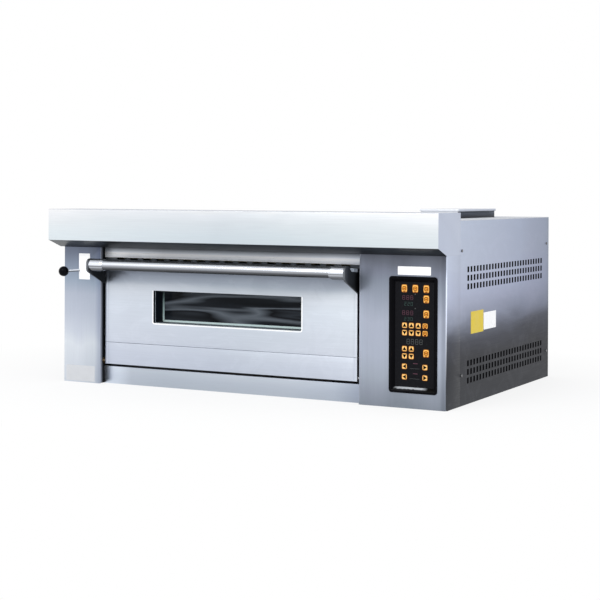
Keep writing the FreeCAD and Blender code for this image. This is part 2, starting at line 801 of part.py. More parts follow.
# ---- steam ---------------------------------------------------------------------------------------
def exhaust_duct():
    end = rear - sheet
    outer = box(duct_left, duct_right, duct_start, end, duct_low, duct_top)
    collar = box(duct_right - sheet, chamber_left - sheet, port_start - sheet, port_end + sheet,
                 port_low - sheet, port_top + sheet)
    hollow = box(duct_left + sheet, duct_right - sheet, duct_start + sheet, end,
                 duct_low + sheet, duct_top - sheet)
    port = box(duct_right - sheet, chamber_left, port_start, port_end, port_low, port_top)
    rod_hole = cylinder(rod_radius + rod_fit, Vector(damper_x, duct_start, damper_z), Y_AXIS, sheet)
    stands = [box(duct_left, duct_right, y, y + sheet, sheet, duct_low)
              for y in (duct_start + port_back, end - port_back)]
    return fuse(outer, collar, *stands).cut([hollow, port, rod_hole])


def damper_rod():
    gate_front = port_start - gate_margin - damper_travel
    gate_back = gate_front + port_length + 2 * gate_margin
    gate_x = duct_right - sheet - seat_gap
    rod = cylinder(rod_radius, Vector(damper_x, front - rod_standout, damper_z), Y_AXIS,
                   gate_front + rod_radius - front + rod_standout)
    link = box(damper_x, gate_x, gate_front, gate_front + rod_radius,
               damper_z - rod_radius, damper_z + rod_radius)
    gate = box(gate_x - gate_thickness, gate_x, gate_front, gate_back,
               port_low - gate_margin, damper_z + rod_radius)
    return fuse(rod, link, gate)


def damper_knob():
    centre = Vector(damper_x, front - rod_standout - knob_radius + knob_flat, damper_z)
    ball = Part.makeSphere(knob_radius, centre)
    return ball.cut(box(damper_x - knob_radius, damper_x + knob_radius, front - rod_standout,
                        front - rod_standout + knob_flat, damper_z - knob_radius,
                        damper_z + knob_radius))


def steam_generator():
    x0 = generator_shift - generator_size.x / 2
    x1 = generator_shift + generator_size.x / 2
    y0 = insulation_rear + seat_gap
    y1 = y0 + generator_size.y
    tank = box(x0, x1, y0, y1, generator_height, generator_height + generator_size.z)
    legs = [box(x, x + generator_leg, y0, y1, sheet, generator_height)
            for x in (x0, x1 - generator_leg)]
    pipe = cylinder(steam_pipe_radius, Vector(generator_shift, chamber_back, steam_z), Y_AXIS,
                    y0 - chamber_back)
    return fuse(tank, pipe, *legs)


def water_valve():
    """Shank, lock nut and hose thread at the rear panel, valve block, and the generator's pipe."""
    stub_start = rear - shank_inside
    thread_end = rear + inlet_nut_depth + inlet_thread
    block = box(valve_x - valve_size.x / 2, valve_x + valve_size.x / 2, stub_start - valve_size.y,
                stub_start, valve_height - valve_size.z / 2, valve_height + valve_size.z / 2)
    foot = box(valve_x - valve_size.x / 4, valve_x + valve_size.x / 4, stub_start - valve_size.y,
               stub_start, sheet, valve_height - valve_size.z / 2)
    start = Vector(valve_x, stub_start, valve_height)
    shank = cylinder(shank_radius, start, Y_AXIS, shank_inside + inlet_nut_depth)
    thread = cylinder(inlet_radius, start, Y_AXIS, thread_end - stub_start)
    lock_nut = nut(inlet_nut, Vector(valve_x, rear, valve_height), inlet_nut_depth)
    bore = cylinder(water_pipe_radius, start, Y_AXIS, thread_end - stub_start)
    generator_end = generator_shift + generator_size.x / 2
    pipe = cylinder(water_pipe_radius,
                    Vector(generator_end, stub_start - valve_size.y / 2, valve_height), X_AXIS,
                    valve_x - valve_size.x / 2 - generator_end)
    return fuse(block, foot, fuse(shank, thread, lock_nut).cut(bore), pipe)


# ---- control panel -----------------------------------------------------------------------------
def control_bezel():
    y0 = front - bezel_proud
    pocket = fascia_front
    y1 = fascia_front + sheet
    flange = rounded_plate(panel_right - bezel_width, panel_right, y0, front, panel_bottom,
                           panel_bottom + bezel_height, bezel_corner)
    sleeve = box(panel_right - bezel_width + bezel_flange, panel_right - bezel_flange, front, y1,
                 panel_bottom + bezel_flange, panel_bottom + bezel_height - bezel_flange)

    def outline(half_width, half_height, y):
        corners = [Vector(panel_middle_x + sx * half_width, y, panel_middle_z + sz * half_height)
                   for sx, sz in ((-1, -1), (1, -1), (1, 1), (-1, 1))]
        return Part.makePolygon(corners + corners[:1])

    mouth_outline = outline(bezel_width / 2 - bezel_lip, bezel_height / 2 - bezel_lip, y0)
    floor_outline = outline(fascia_width / 2, fascia_tall / 2, pocket)
    funnel = Part.makeLoft([mouth_outline, floor_outline], True, True)
    reach = fascia_pocket + seat_gap
    seat = box(panel_middle_x - fascia_width / 2 - reach, panel_middle_x + fascia_width / 2 + reach,
               pocket, y1, panel_middle_z - fascia_tall / 2 - reach,
               panel_middle_z + fascia_tall / 2 + reach)
    return fuse(flange, sleeve).cut([funnel, seat])


def key_box(place, clearance, y0, y1):
    _, column, row, (width, height) = place
    x, z = panel_middle_x + column, panel_middle_z + row
    return rounded_plate(x - width / 2 - clearance, x + width / 2 + clearance, y0, y1,
                         z - height / 2 - clearance, z + height / 2 + clearance,
                         key_corner + clearance)


def control_fascia():
    plate = box(panel_middle_x - fascia_width / 2 - fascia_pocket,
                panel_middle_x + fascia_width / 2 + fascia_pocket,
                fascia_front, fascia_front + sheet,
                panel_middle_z - fascia_tall / 2 - fascia_pocket,
                panel_middle_z + fascia_tall / 2 + fascia_pocket)
    windows = [key_box(place, key_clearance, fascia_front, fascia_front + sheet)
               for place in key_layout]
    return plate.cut(windows)


def control_key(place):
    cap = key_box(place, 0, fascia_front - key_proud, fascia_front - key_proud + key_depth)
    _, column, row, _ = place
    start = fascia_front - key_proud + key_depth
    stem = cylinder(key_stem_radius, Vector(panel_middle_x + column, start, panel_middle_z + row),
                    Y_AXIS, board_front - key_travel - seat_gap - start)
    return fuse(cap, stem)


def control_board():
    half_width = fascia_width / 2 - board_margin
    half_height = fascia_tall / 2 - board_margin
    board = box(panel_middle_x - half_width, panel_middle_x + half_width, board_front,
                board_front + board_thickness, panel_middle_z - half_height,
                panel_middle_z + half_height)
    inset = 2 * board_post_radius
    posts = [cylinder(board_post_radius,
                      Vector(panel_middle_x + sx * (half_width - inset), fascia_front + sheet,
                             panel_middle_z + sz * (half_height - inset)), Y_AXIS, board_gap)
             for sx in (-1, 1) for sz in (-1, 1)]
    return fuse(board, *posts)


# ---- electrical compartment --------------------------------------------------------------------
def switchgear():
    """Mounting plate on the base pan with two DIN rails, contactors and a terminal block."""
    x0 = insulation_right + element_tail + plate_gap
    y0, y1 = front + plate_y[0], front + plate_y[1]
    face = x0 + sheet
    plate = fuse(box(x0, face, y0, y1, sheet, plate_height),
                 box(x0, x0 + plate_foot, y0, y1, sheet, 2 * sheet))
    pieces = [plate]
    depth, width, height = contactor_size
    block_depth, block_width, block_height = terminal_size
    upper_z, lower_z = plate_height * 0.72, plate_height * 0.35
    for z in (upper_z, lower_z):
        pieces.append(box(face, face + rail_depth, y0 + plate_foot, y1 - plate_foot,
                          z - rail_width / 2, z + rail_width / 2))
    on_rail = face + rail_depth
    for index in range(contactor_count):
        y = y0 + 2 * plate_foot + index * contactor_pitch
        pieces.append(box(on_rail, on_rail + depth, y, y + width, upper_z - height / 2,
                          upper_z + height / 2))
    y = y0 + 2 * plate_foot
    pieces.append(box(on_rail, on_rail + block_depth, y, y + block_width,
                      lower_z - block_height / 2, lower_z + block_height / 2))
    return pieces


def cable_gland():
    start = Vector(gland_x, rear - sheet - gland_inside, gland_height)
    barrel = cylinder(gland_radius, start, Y_AXIS, gland_inside + sheet + gland_nut_depth)
    lock_nut = nut(gland_nut, Vector(gland_x, rear, gland_height), gland_nut_depth)
    bore = cylinder(gland_bore, start, Y_AXIS, gland_inside + sheet + gland_nut_depth)
    return fuse(barrel, lock_nut).cut(bore)


# ---- write every node --------------------------------------------------------------------------
os.makedirs("parts", exist_ok=True)
save("base_pan", base_pan())
save("left_side_panel", side_panel(left))
save("right_side_panel", side_panel(right - sheet))
save("rear_panel", rear_panel())
save("top_panel", top_panel())
save("left_front_post", left_front_post())
save("right_front_post", right_front_post())
save("canopy_hood", canopy_hood())
save("upper_front_rail", upper_front_rail())
save("bottom_fascia", bottom_fascia())
save("vent_cowl", vent_cowl())
save("panel_screws", *panel_screws())

save("door_outer_skin", door_outer_skin())
save("door_lower_cover", door_lower_cover())
save("door_inner_liner", door_inner_liner())
save("door_glass_panes", *door_glass_panes())
save("door_gasket", door_gasket())
save("hinge_pins", *hinge_pins())
save("hinge_bushes", *hinge_bushes())
save("door_springs", *door_springs())
save("handle_tube", *handle_tube())
save("handle_brackets", *handle_brackets())

save("baking_chamber", baking_chamber())
save("hearth_stone", *hearth_stone())
save("insulation", insulation())
save("upper_heating_elements", *heating_elements(upper_element_z))
save("lower_heating_elements", *heating_elements(lower_element_z))
save("chamber_lamp", *chamber_lamp())

save("exhaust_duct", exhaust_duct())
save("damper_rod", damper_rod())
save("damper_knob", damper_knob())
save("steam_generator", steam_generator())
save("water_valve", water_valve())

save("control_bezel", control_bezel())
save("control_fascia", control_fascia())
save("control_board", control_board())
for place in key_layout:
    save(place[0], control_key(place))
save("switchgear", *switchgear())
save("cable_gland", cable_gland())
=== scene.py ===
import json
import math
import bmesh
import bpy
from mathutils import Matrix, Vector


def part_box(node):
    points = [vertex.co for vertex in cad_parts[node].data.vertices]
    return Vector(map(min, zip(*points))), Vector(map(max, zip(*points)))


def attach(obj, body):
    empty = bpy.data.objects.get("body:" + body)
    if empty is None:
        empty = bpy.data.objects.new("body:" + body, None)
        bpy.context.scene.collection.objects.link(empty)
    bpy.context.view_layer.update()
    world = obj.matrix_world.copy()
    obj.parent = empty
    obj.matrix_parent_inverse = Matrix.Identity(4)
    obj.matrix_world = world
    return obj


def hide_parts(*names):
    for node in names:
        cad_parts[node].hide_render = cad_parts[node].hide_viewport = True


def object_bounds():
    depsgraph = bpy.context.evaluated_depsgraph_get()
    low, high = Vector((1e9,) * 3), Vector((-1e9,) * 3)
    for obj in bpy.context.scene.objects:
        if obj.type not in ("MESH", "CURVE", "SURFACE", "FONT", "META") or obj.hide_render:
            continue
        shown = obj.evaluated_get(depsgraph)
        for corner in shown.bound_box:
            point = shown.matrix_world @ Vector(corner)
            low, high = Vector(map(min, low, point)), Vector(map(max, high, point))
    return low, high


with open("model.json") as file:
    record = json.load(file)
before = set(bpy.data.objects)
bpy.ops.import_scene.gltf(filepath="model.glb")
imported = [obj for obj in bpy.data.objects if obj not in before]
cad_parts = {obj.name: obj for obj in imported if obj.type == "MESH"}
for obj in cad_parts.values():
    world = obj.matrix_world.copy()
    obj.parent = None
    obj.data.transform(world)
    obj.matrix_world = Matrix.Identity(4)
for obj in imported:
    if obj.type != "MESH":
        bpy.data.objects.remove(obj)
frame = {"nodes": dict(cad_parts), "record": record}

# The looks of a single-deck bakery oven: brushed stainless casing, drop-down glazed door, key panel.
# Metres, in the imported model's frame: +X right, +Y back, +Z up, the front faces -Y.

cad_low, cad_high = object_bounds()
NODES = frame["nodes"]
BODY_OF = {node: body for body, nodes in frame["record"]["behaviour"]["bodies"].items() for node in nodes}
SLOT_OF = {part["node"]: part["material_slot"] for part in frame["record"]["subparts"]}
KEY_NODES = sorted(node for node in NODES if node.startswith("key_"))


# ---- shader helpers ----------------------------------------------------------------------------
class Shader:
    """A material being built: its nodes, its links and its Principled shader."""

    def __init__(self, name, **sockets):
        self.material = bpy.data.materials.new(name)
        self.material.use_nodes = True
        self.tree = self.material.node_tree
        self.surface = self.tree.nodes["Principled BSDF"]
        for socket, value in sockets.items():
            self.surface.inputs[socket.replace("_", " ")].default_value = value

    def node(self, kind, **values):
        made = self.tree.nodes.new(kind)
        for name, value in values.items():
            setattr(made, name, value)
        return made

    def link(self, output, target):
        self.tree.links.new(output, target)

    def coordinates(self, stretch=(1, 1, 1), source="Object", turn=0.0):
        place = self.node("ShaderNodeTexCoord")
        mapping = self.node("ShaderNodeMapping")
        mapping.inputs["Scale"].default_value = stretch
        mapping.inputs["Rotation"].default_value = (0.0, math.radians(turn), 0.0)
        self.link(place.outputs[source], mapping.inputs["Vector"])
        return mapping.outputs["Vector"]

    def axes(self, source="Object"):
        """A coordinate's outputs, which are read by axis name."""
        split = self.node("ShaderNodeSeparateXYZ")
        self.link(self.coordinates(source=source), split.inputs["Vector"])
        return split.outputs

    def noise(self, scale, detail=4.0, rough=0.55, stretch=(1, 1, 1), distortion=0.0, turn=0.0):
        texture = self.node("ShaderNodeTexNoise")
        texture.inputs["Scale"].default_value = scale
        texture.inputs["Detail"].default_value = detail
        texture.inputs["Roughness"].default_value = rough
        texture.inputs["Distortion"].default_value = distortion
        self.link(self.coordinates(stretch, turn=turn), texture.inputs["Vector"])
        return texture.outputs["Fac"]

    def ramp(self, value, stops):
        made = self.node("ShaderNodeValToRGB")
        elements = made.color_ramp.elements
        while len(elements) < len(stops):
            elements.new(0.5)
        for element, (position, colour) in zip(elements, stops):
            element.position = position
            element.color = (*colour, 1.0)
        self.link(value, made.inputs["Fac"])
        return made.outputs["Color"]

    def spread(self, value, stops):
        """A ramp over real lengths: stops are (metres, colour) pairs."""
        first, last = stops[0][0], stops[-1][0]
        level = self.remap(value, 0.0, 1.0, first, last)
        return self.ramp(level, [((at - first) / (last - first), colour) for at, colour in stops])

    def remap(self, value, low, high, start=0.3, end=0.7):
        made = self.node("ShaderNodeMapRange")
        for name, number in (("From Min", start), ("From Max", end), ("To Min", low), ("To Max", high)):
            made.inputs[name].default_value = number
        self.link(value, made.inputs["Value"])
        return made.outputs["Result"]

    def math(self, operation, first, second):
        made = self.node("ShaderNodeMath", operation=operation)
        for socket, value in zip(made.inputs, (first, second)):
            if isinstance(value, (int, float)):
                socket.default_value = value
            else:
                self.link(value, socket)
        return made.outputs["Value"]

    def mix(self, kind, factor, first, second):
        made = self.node("ShaderNodeMix", data_type="RGBA", blend_type=kind)
        made.inputs["Factor"].default_value = factor
        colours = [socket for socket in made.inputs if socket.type == "RGBA"]
        self.link(first, colours[0])
        self.link(second, colours[1])
        return next(socket for socket in made.outputs if socket.type == "RGBA")

    def bump(self, height, strength, distance):
        made = self.node("ShaderNodeBump")
        made.inputs["Strength"].default_value = strength
        made.inputs["Distance"].default_value = distance
        self.link(height, made.inputs["Height"])
        self.link(made.outputs["Normal"], self.surface.inputs["Normal"])

    def base(self, output):
        self.link(output, self.surface.inputs["Base Color"])

    def roughness(self, output):
        self.link(output, self.surface.inputs["Roughness"])


def shade(colour, factor):
    return tuple(min(1.0, channel * factor) for channel in colour)


# ---- materials -----------------------------------------------------------------------------------
# Noise stretched along one axis: the brushing, and the broad waves along it that sway the painted light and
# shade of the levels.
GRAIN = {"x": (1.2, 90, 90), "y": (90, 1.2, 90), "z": (90, 90, 1.2)}
SWAY_STRETCH = {"x": (1.0, 4.0, 4.0), "y": (4.0, 1.0, 4.0), "z": (4.0, 4.0, 0.8)}
# How much of the painted highlight on a bend shows, by height.
BEND_SHARE = [(0.08, (0.0, 0.0, 0.0)), (0.20, (1.0, 1.0, 1.0)), (0.36, (1.0, 1.0, 1.0)),
              (0.40, (0.0, 0.0, 0.0)), (0.44, (0.0, 0.0, 0.0)), (0.46, (1.0, 1.0, 1.0))]


def bend_turn(shader):
    """0 on a flat face of the casing, and more where a bend turns between two faces."""
    normal = shader.axes("Normal")
    across, depth, rise = [shader.math("ABSOLUTE", normal[axis], 0.0) for axis in "XYZ"]
    squarest = shader.math("MAXIMUM", shader.math("MAXIMUM", across, depth), rise)
    return shader.math("SUBTRACT", 1.0, squarest)


def brushed_steel(name, levels, grain="x", shade_across=None, rough=0.34, sway=0.015, marks=0.0, metal=1.0,
                  gloss=0.5, grazing=1.0, bends=False):
    """Brushed sheet. levels are (height, colour) pairs; the next argument is an axis and (place,
    tint) pairs. Both paint light and shade into the steel's colour.

    sway bends the levels a little with soft noise, and marks adds faint handling swirls. grazing is
    the brightness of the steel seen edge-on. With bends, rounded bends get a painted highlight,
    shown by height as BEND_SHARE says, and are less metallic.
    """
    shader = Shader(name, Metallic=metal, Specular_IOR_Level=gloss,
                    Specular_Tint=(grazing, grazing, grazing, 1.0))
    fine = shader.noise(6.0, 6.0, 0.7, GRAIN[grain])
    broad = shader.noise(2.2, 3.0, 0.5, SWAY_STRETCH[grain], distortion=0.6)
    place = shader.axes()
    swayed = shader.math("ADD", place["Z"], shader.remap(broad, -sway, sway))
    tone = shader.spread(swayed, levels)
    if shade_across:
        axis, stops = shade_across
        tone = shader.mix("MULTIPLY", 1.0, tone, shader.spread(place[axis], stops))
    if marks:
        swirl = shader.noise(5.0, 4.0, 0.55, (1.0, 1.0, 1.4), distortion=3.0)
        tone = shader.mix("ADD", 1.0, tone, shader.ramp(swirl, [
            (0.52, (0.0, 0.0, 0.0)), (0.60, (marks, marks, marks * 1.1)), (0.68, (0.0, 0.0, 0.0))]))
    # Painted highlight along the rounded bends, shown by height as BEND_SHARE says.
    if bends:
        turned = bend_turn(shader)
        share = shader.spread(place["Z"], BEND_SHARE)
        line = shader.ramp(turned, [(0.05, (0.0, 0.0, 0.0)), (0.13, (0.40, 0.42, 0.45))])
        tone = shader.mix("ADD", 1.0, tone, shader.mix("MULTIPLY", 1.0, line, share))
        shader.link(shader.remap(turned, metal, metal * 0.25, 0.03, 0.12),
                    shader.surface.inputs["Metallic"])
    streaks = shader.ramp(fine, [(0.25, (0.90, 0.90, 0.91)), (0.75, (1.0, 1.0, 1.0))])
    shader.base(shader.mix("MULTIPLY", 1.0, tone, streaks))
    shader.roughness(shader.remap(fine, rough - 0.06, rough + 0.08))
    shader.bump(fine, 0.12, 0.0004)
    return shader.material


def chrome(name, colour, rough):
    shader = Shader(name, Metallic=1.0)
    wear = shader.noise(9.0, 5.0, 0.6, (1.0, 14.0, 14.0))
    shader.base(shader.ramp(wear, [(0.3, shade(colour, 0.94)), (0.7, colour)]))
    shader.roughness(shader.remap(wear, rough, rough + 0.07))
    shader.bump(wear, 0.04, 0.0002)
    return shader.material


def turned_bar(name, bands, metal):
    """A round bar with painted highlight and shade in bands: (upward turn, grey level) pairs,
    from the underside to the top.
    """
    shader = Shader(name, Metallic=metal)
    draw = shader.noise(7.0, 5.0, 0.6, (0.8, 60.0, 60.0))
    level = shader.math("ADD", shader.axes("Normal")["Z"], shader.remap(draw, -0.04, 0.04))
    shader.base(shader.spread(level, [(at, (grey * 0.93, grey * 0.97, min(1.0, grey * 1.06)))
                                      for at, grey in bands]))
    shader.roughness(shader.remap(draw, 0.14, 0.24))
    shader.bump(draw, 0.03, 0.0002)
    return shader.material


# Painted highlight and shade round the handle's tube, its collars and the damper rod.
TUBE_BANDS = [(-1.0, 0.01), (-0.92, 0.012), (-0.75, 0.026), (-0.58, 0.09), (-0.42, 0.14), (-0.25, 0.32),
              (-0.08, 0.38), (0.08, 0.68), (0.25, 0.97), (0.42, 0.98), (0.55, 0.62), (0.72, 0.46),
              (0.88, 0.36), (1.0, 0.28)]
COLLAR_BANDS = [(-1.0, 0.04), (-0.85, 0.10), (-0.66, 0.18), (-0.50, 0.21), (-0.38, 0.50), (-0.26, 0.42),
                (-0.14, 0.16), (-0.04, 0.80), (0.10, 0.95), (0.40, 0.95), (0.55, 0.66), (0.70, 0.42),
                (0.85, 0.30), (1.0, 0.34)]
ROD_BANDS = [(-1.0, 0.01), (-0.60, 0.015), (-0.35, 0.16), (-0.10, 0.60), (0.20, 0.92), (1.0, 0.98)]


def bracket_steel():
    """The handle brackets: grey at the front edge, and painted shade of the hood's shadow that
    darkens the faces toward the door.
    """
    shader = Shader("bracket_steel", Metallic=0.5, Specular_IOR_Level=0.2)
    fine = shader.noise(6.0, 6.0, 0.7, GRAIN["z"])
    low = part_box("handle_brackets")[0]
    shader.base(shader.spread(shader.axes()["Y"], [
        (low.y, (0.13, 0.14, 0.155)), (low.y + 0.008, (0.07, 0.075, 0.085)),
        (low.y + 0.025, (0.018, 0.020, 0.023)), (low.y + 0.050, (0.006, 0.007, 0.008))]))
    shader.roughness(shader.remap(fine, 0.34, 0.46))
    shader.bump(fine, 0.08, 0.0003)
    return shader.material


def moulded(name, colour, rough, texture_scale=900.0, depth=0.25, sheen=0.2):
    """Moulded plastic or rubber with a fine texture and slightly rubbed patches."""
    shader = Shader(name, Specular_IOR_Level=sheen)
    pits = shader.noise(texture_scale, 3.0, 0.6)
    rub = shader.noise(14.0, 4.0, 0.6)
    shader.base(shader.ramp(rub, [(0.3, colour), (0.75, shade(colour, 1.5))]))
    shader.roughness(shader.remap(rub, rough, rough + 0.12))
    shader.bump(pits, depth, 0.0003)
    return shader.material


def bezel_sill():
    """The bezel's upward slopes, with a painted pale highlight along the middle of the lowest one."""
    shader = Shader("bezel_sill", Roughness=0.35, Specular_IOR_Level=0.2)
    place = shader.axes()
    bezel_low, bezel_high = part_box("control_bezel")
    wear = shader.noise(90.0, 4.0, 0.6)
    rise = shader.math("ADD", place["Z"], shader.remap(wear, -0.001, 0.001))
    black, pale = (0.006, 0.006, 0.008), (0.50, 0.52, 0.55)
    line = shader.spread(rise, [
        (bezel_low.z + 0.0105, black), (bezel_low.z + 0.0120, pale), (bezel_low.z + 0.0155, pale),
        (bezel_low.z + 0.0175, black)])
    ends = shader.spread(place["X"], [
        (bezel_low.x + 0.009, (0.0, 0.0, 0.0)), (bezel_low.x + 0.026, (0.8, 0.8, 0.8)),
        (bezel_low.x + 0.055, (1.0, 1.0, 1.0)), (bezel_high.x - 0.050, (1.0, 1.0, 1.0)),
        (bezel_high.x - 0.032, (0.0, 0.0, 0.0))])
    shader.base(shader.mix("MULTIPLY", 1.0, line, ends))
    return shader.material


def gloss_panel():
    shader = Shader("panel_gloss", Specular_IOR_Level=0.07)
    dust = shader.noise(420.0, 3.0, 0.7)
    haze = shader.noise(7.0, 4.0, 0.6, distortion=0.8)
    shader.base(shader.ramp(dust, [(0.55, (0.006, 0.006, 0.008)), (0.80, (0.020, 0.021, 0.024))]))
    shader.roughness(shader.remap(haze, 0.10, 0.22))
    shader.bump(haze, 0.02, 0.0005)
    return shader.material


def key_material(name, centre, ring, edge):
    """Key cap with a painted backlit glow: colour runs from the centre over a pale ring to the edge,
    inside each cap's own box.
    """
    shader = Shader(name, Roughness=0.32, Specular_IOR_Level=0.2)
    place = shader.axes("Generated")
    squareness = 5.0        # of the rings: 2 is round, and a large number is square

    def reach(axis):
        offset = shader.math("ABSOLUTE", shader.math("SUBTRACT", place[axis], 0.5), 0.0)
        return shader.math("POWER", offset, squareness)

    distance = shader.math("POWER", shader.math("ADD", reach("X"), reach("Z")), 1.0 / squareness)
    cloud = shader.noise(160.0, 3.0, 0.6)
    worn = shader.math("ADD", distance, shader.math("MULTIPLY", cloud, 0.03))
    shader.base(shader.ramp(worn, [
        (0.18, centre), (0.33, ring), (0.40, ring), (0.435, edge), (0.475, (0.010, 0.006, 0.004))]))
    shader.bump(cloud, 0.05, 0.0002)
    return shader.material


def tinted_glass():
    """Near-black glass with long flowing streaks of painted reflection."""
    shader = Shader("tinted_glass", IOR=1.45, Transmission_Weight=0.05, Specular_IOR_Level=0.06)
    reflection_streaks = shader.noise(3.6, 2.0, 0.40, (0.50, 1.0, 4.2), distortion=0.45, turn=24.0)
    # Painted reflection: pale streaks on near-black, running along the pane.
    fold = shader.ramp(reflection_streaks, [
        (0.30, (0.003, 0.004, 0.006)), (0.40, (0.012, 0.015, 0.020)), (0.455, (0.13, 0.15, 0.175)),
        (0.49, (0.050, 0.058, 0.070)), (0.51, (0.004, 0.005, 0.007)), (0.57, (0.030, 0.036, 0.045)),
        (0.60, (0.004, 0.005, 0.006)), (0.68, (0.022, 0.027, 0.034))])
    shader.base(fold)
    shader.roughness(shader.remap(reflection_streaks, 0.04, 0.16))
    return shader.material


def heat_tinted_steel():
    shader = Shader("chamber_steel", Metallic=0.9)
    cloud = shader.noise(3.0, 5.0, 0.6, distortion=0.7)
    fine = shader.noise(5.0, 5.0, 0.7, GRAIN["x"])
    tone = shader.ramp(cloud, [(0.30, (0.16, 0.14, 0.13)), (0.55, (0.26, 0.23, 0.20)),
                               (0.75, (0.30, 0.25, 0.19))])
    shader.base(shader.mix("MULTIPLY", 0.5, tone, shader.ramp(fine, [(0.3, (0.6, 0.6, 0.6)),
                                                                     (0.7, (1.0, 1.0, 1.0))])))
    shader.roughness(shader.remap(cloud, 0.38, 0.55))
    shader.bump(fine, 0.15, 0.0005)
    return shader.material


def galvanised():
    shader = Shader("galvanised_sheet", Metallic=1.0)
    cells = shader.node("ShaderNodeTexVoronoi")
    cells.inputs["Scale"].default_value = 45.0
    shader.link(shader.coordinates(), cells.inputs["Vector"])
    tone = shader.math("MULTIPLY", cells.outputs["Distance"], 1.2)
    shader.base(shader.ramp(tone, [(0.0, (0.46, 0.48, 0.50)), (0.8, (0.62, 0.64, 0.66))]))
    shader.roughness(shader.remap(tone, 0.35, 0.50, 0.0, 1.0))
    return shader.material


def porous(name, dark, light, scale, rough, depth):
    """Stone, wool or another matt, grainy material."""
    shader = Shader(name)
    grain = shader.noise(scale, 8.0, 0.7)
    patches = shader.noise(scale / 14.0, 4.0, 0.6)
    spots = shader.ramp(grain, [(0.32, dark), (0.62, light)])
    shader.base(shader.mix("MULTIPLY", 0.6, spots, shader.ramp(patches, [(0.3, (0.72, 0.70, 0.66)),
                                                                         (0.7, (1.0, 1.0, 1.0))])))
    shader.roughness(shader.remap(grain, rough - 0.1, rough))
    shader.bump(grain, depth, 0.002)
    return shader.material


def glazing_seal():
    """Pale bead round the pane with painted light: bright along the bottom and fading up the sides."""
    shader = Shader("glazing_bead", Specular_IOR_Level=0.2)
    cloud = shader.noise(40.0, 4.0, 0.6)
    rise = shader.math("ADD", shader.axes()["Z"], shader.remap(cloud, -0.004, 0.004))
    shader.base(shader.spread(rise, [
        (0.20, (0.72, 0.88, 0.88)), (0.215, (0.66, 0.84, 0.83)), (0.235, (0.42, 0.56, 0.55)),
        (0.27, (0.22, 0.31, 0.31)), (0.30, (0.04, 0.06, 0.06))]))
    shader.roughness(shader.remap(cloud, 0.30, 0.42))
    return shader.material


def lamp_glass():
    shader = Shader("lamp_glass", Roughness=0.25, Transmission_Weight=0.35)
    cloud = shader.noise(60.0, 4.0, 0.6)
    shader.base(shader.ramp(cloud, [(0.3, (0.72, 0.71, 0.66)), (0.7, (0.86, 0.85, 0.80))]))
    return shader.material


def sticker(name, colour, glow=0.0):
    """Blank self-adhesive label, a little rubbed; glow is painted light that brightens the label."""
    shader = Shader(name, Emission_Strength=glow)
    cloud = shader.noise(30.0, 5.0, 0.6)
    shader.base(shader.ramp(cloud, [(0.3, shade(colour, 0.94)), (0.7, colour)]))
    shader.roughness(shader.remap(cloud, 0.40, 0.60))
    return shader.material


def glowing(name, colour, strength):
    """Display segment or pilot line behind the dark fascia."""
    shader = Shader(name, Roughness=0.4, Emission_Strength=strength)
    flicker = shader.noise(300.0, 2.0, 0.5)
    tone = shader.ramp(flicker, [(0.2, shade(colour, 0.75)), (0.8, colour)])
    shader.base(tone)
    shader.link(tone, shader.surface.inputs["Emission Color"])
    return shader.material


# Levels are (height, colour) pairs, and the tables across are (place along X or Y, tint) pairs,
# in the model's frame. Both paint light and shade into the steel's colour.
# Hood: painted highlight brightening toward the top edge, and painted light brighter at both ends.
HOOD_LEVELS = [(0.435, (0.79, 0.86, 0.90)), (0.475, (0.82, 0.89, 0.93)), (0.520, (0.86, 0.90, 0.93)),
               (0.545, (0.93, 0.95, 0.98)), (0.558, (0.98, 0.98, 0.98))]
HOOD_SHADE_ACROSS = [(-0.68, (1.0, 1.0, 1.0)), (-0.40, (0.91, 0.92, 0.93)), (-0.05, (0.81, 0.83, 0.85)),
              (0.20, (0.82, 0.84, 0.85)), (0.45, (0.87, 0.88, 0.88)), (0.67, (0.90, 0.90, 0.90))]
# Door: painted shade of the handle and the hood deepening toward the top, and painted light brighter toward
# both ends.
DOOR_LEVELS = [(0.06, (0.64, 0.69, 0.80)), (0.10, (0.66, 0.71, 0.82)), (0.15, (0.71, 0.76, 0.86)),
               (0.25, (0.74, 0.80, 0.89)), (0.29, (0.71, 0.76, 0.84)), (0.315, (0.61, 0.66, 0.73)),
               (0.335, (0.43, 0.48, 0.56)), (0.36, (0.34, 0.38, 0.46)), (0.40, (0.30, 0.34, 0.40))]
DOOR_SHADE_ACROSS = [(-0.52, (1.0, 1.0, 1.0)), (-0.42, (0.93, 0.93, 0.93)), (-0.10, (0.86, 0.87, 0.87)),
              (0.05, (0.88, 0.89, 0.88)), (0.25, (0.93, 0.93, 0.92)), (0.38, (1.0, 1.0, 0.98))]
# Rail: painted shade on the slotted lip, a painted highlight line at its edge, painted shade of the hood
# toward the top, and painted light brighter toward both ends.
RAIL_LEVELS = [(0.39, (0.08, 0.09, 0.10)), (0.4028, (0.08, 0.09, 0.10)), (0.4036, (1.0, 1.0, 1.0)),
               (0.4052, (1.0, 1.0, 1.0)), (0.4066, (0.86, 0.89, 0.93)), (0.411, (0.96, 0.98, 1.0)),
               (0.418, (1.0, 1.0, 1.0)), (0.422, (0.72, 0.76, 0.82)), (0.427, (0.44, 0.47, 0.52)),
               (0.436, (0.17, 0.18, 0.20))]
RAIL_SHADE_ACROSS = [(-0.525, (1.0, 1.0, 1.0)), (-0.45, (1.0, 1.0, 1.0)), (-0.30, (0.70, 0.70, 0.70)),
              (-0.05, (0.70, 0.71, 0.72)), (0.15, (0.80, 0.80, 0.80)), (0.30, (1.0, 1.0, 1.0)),
              (0.39, (0.86, 0.88, 0.92))]
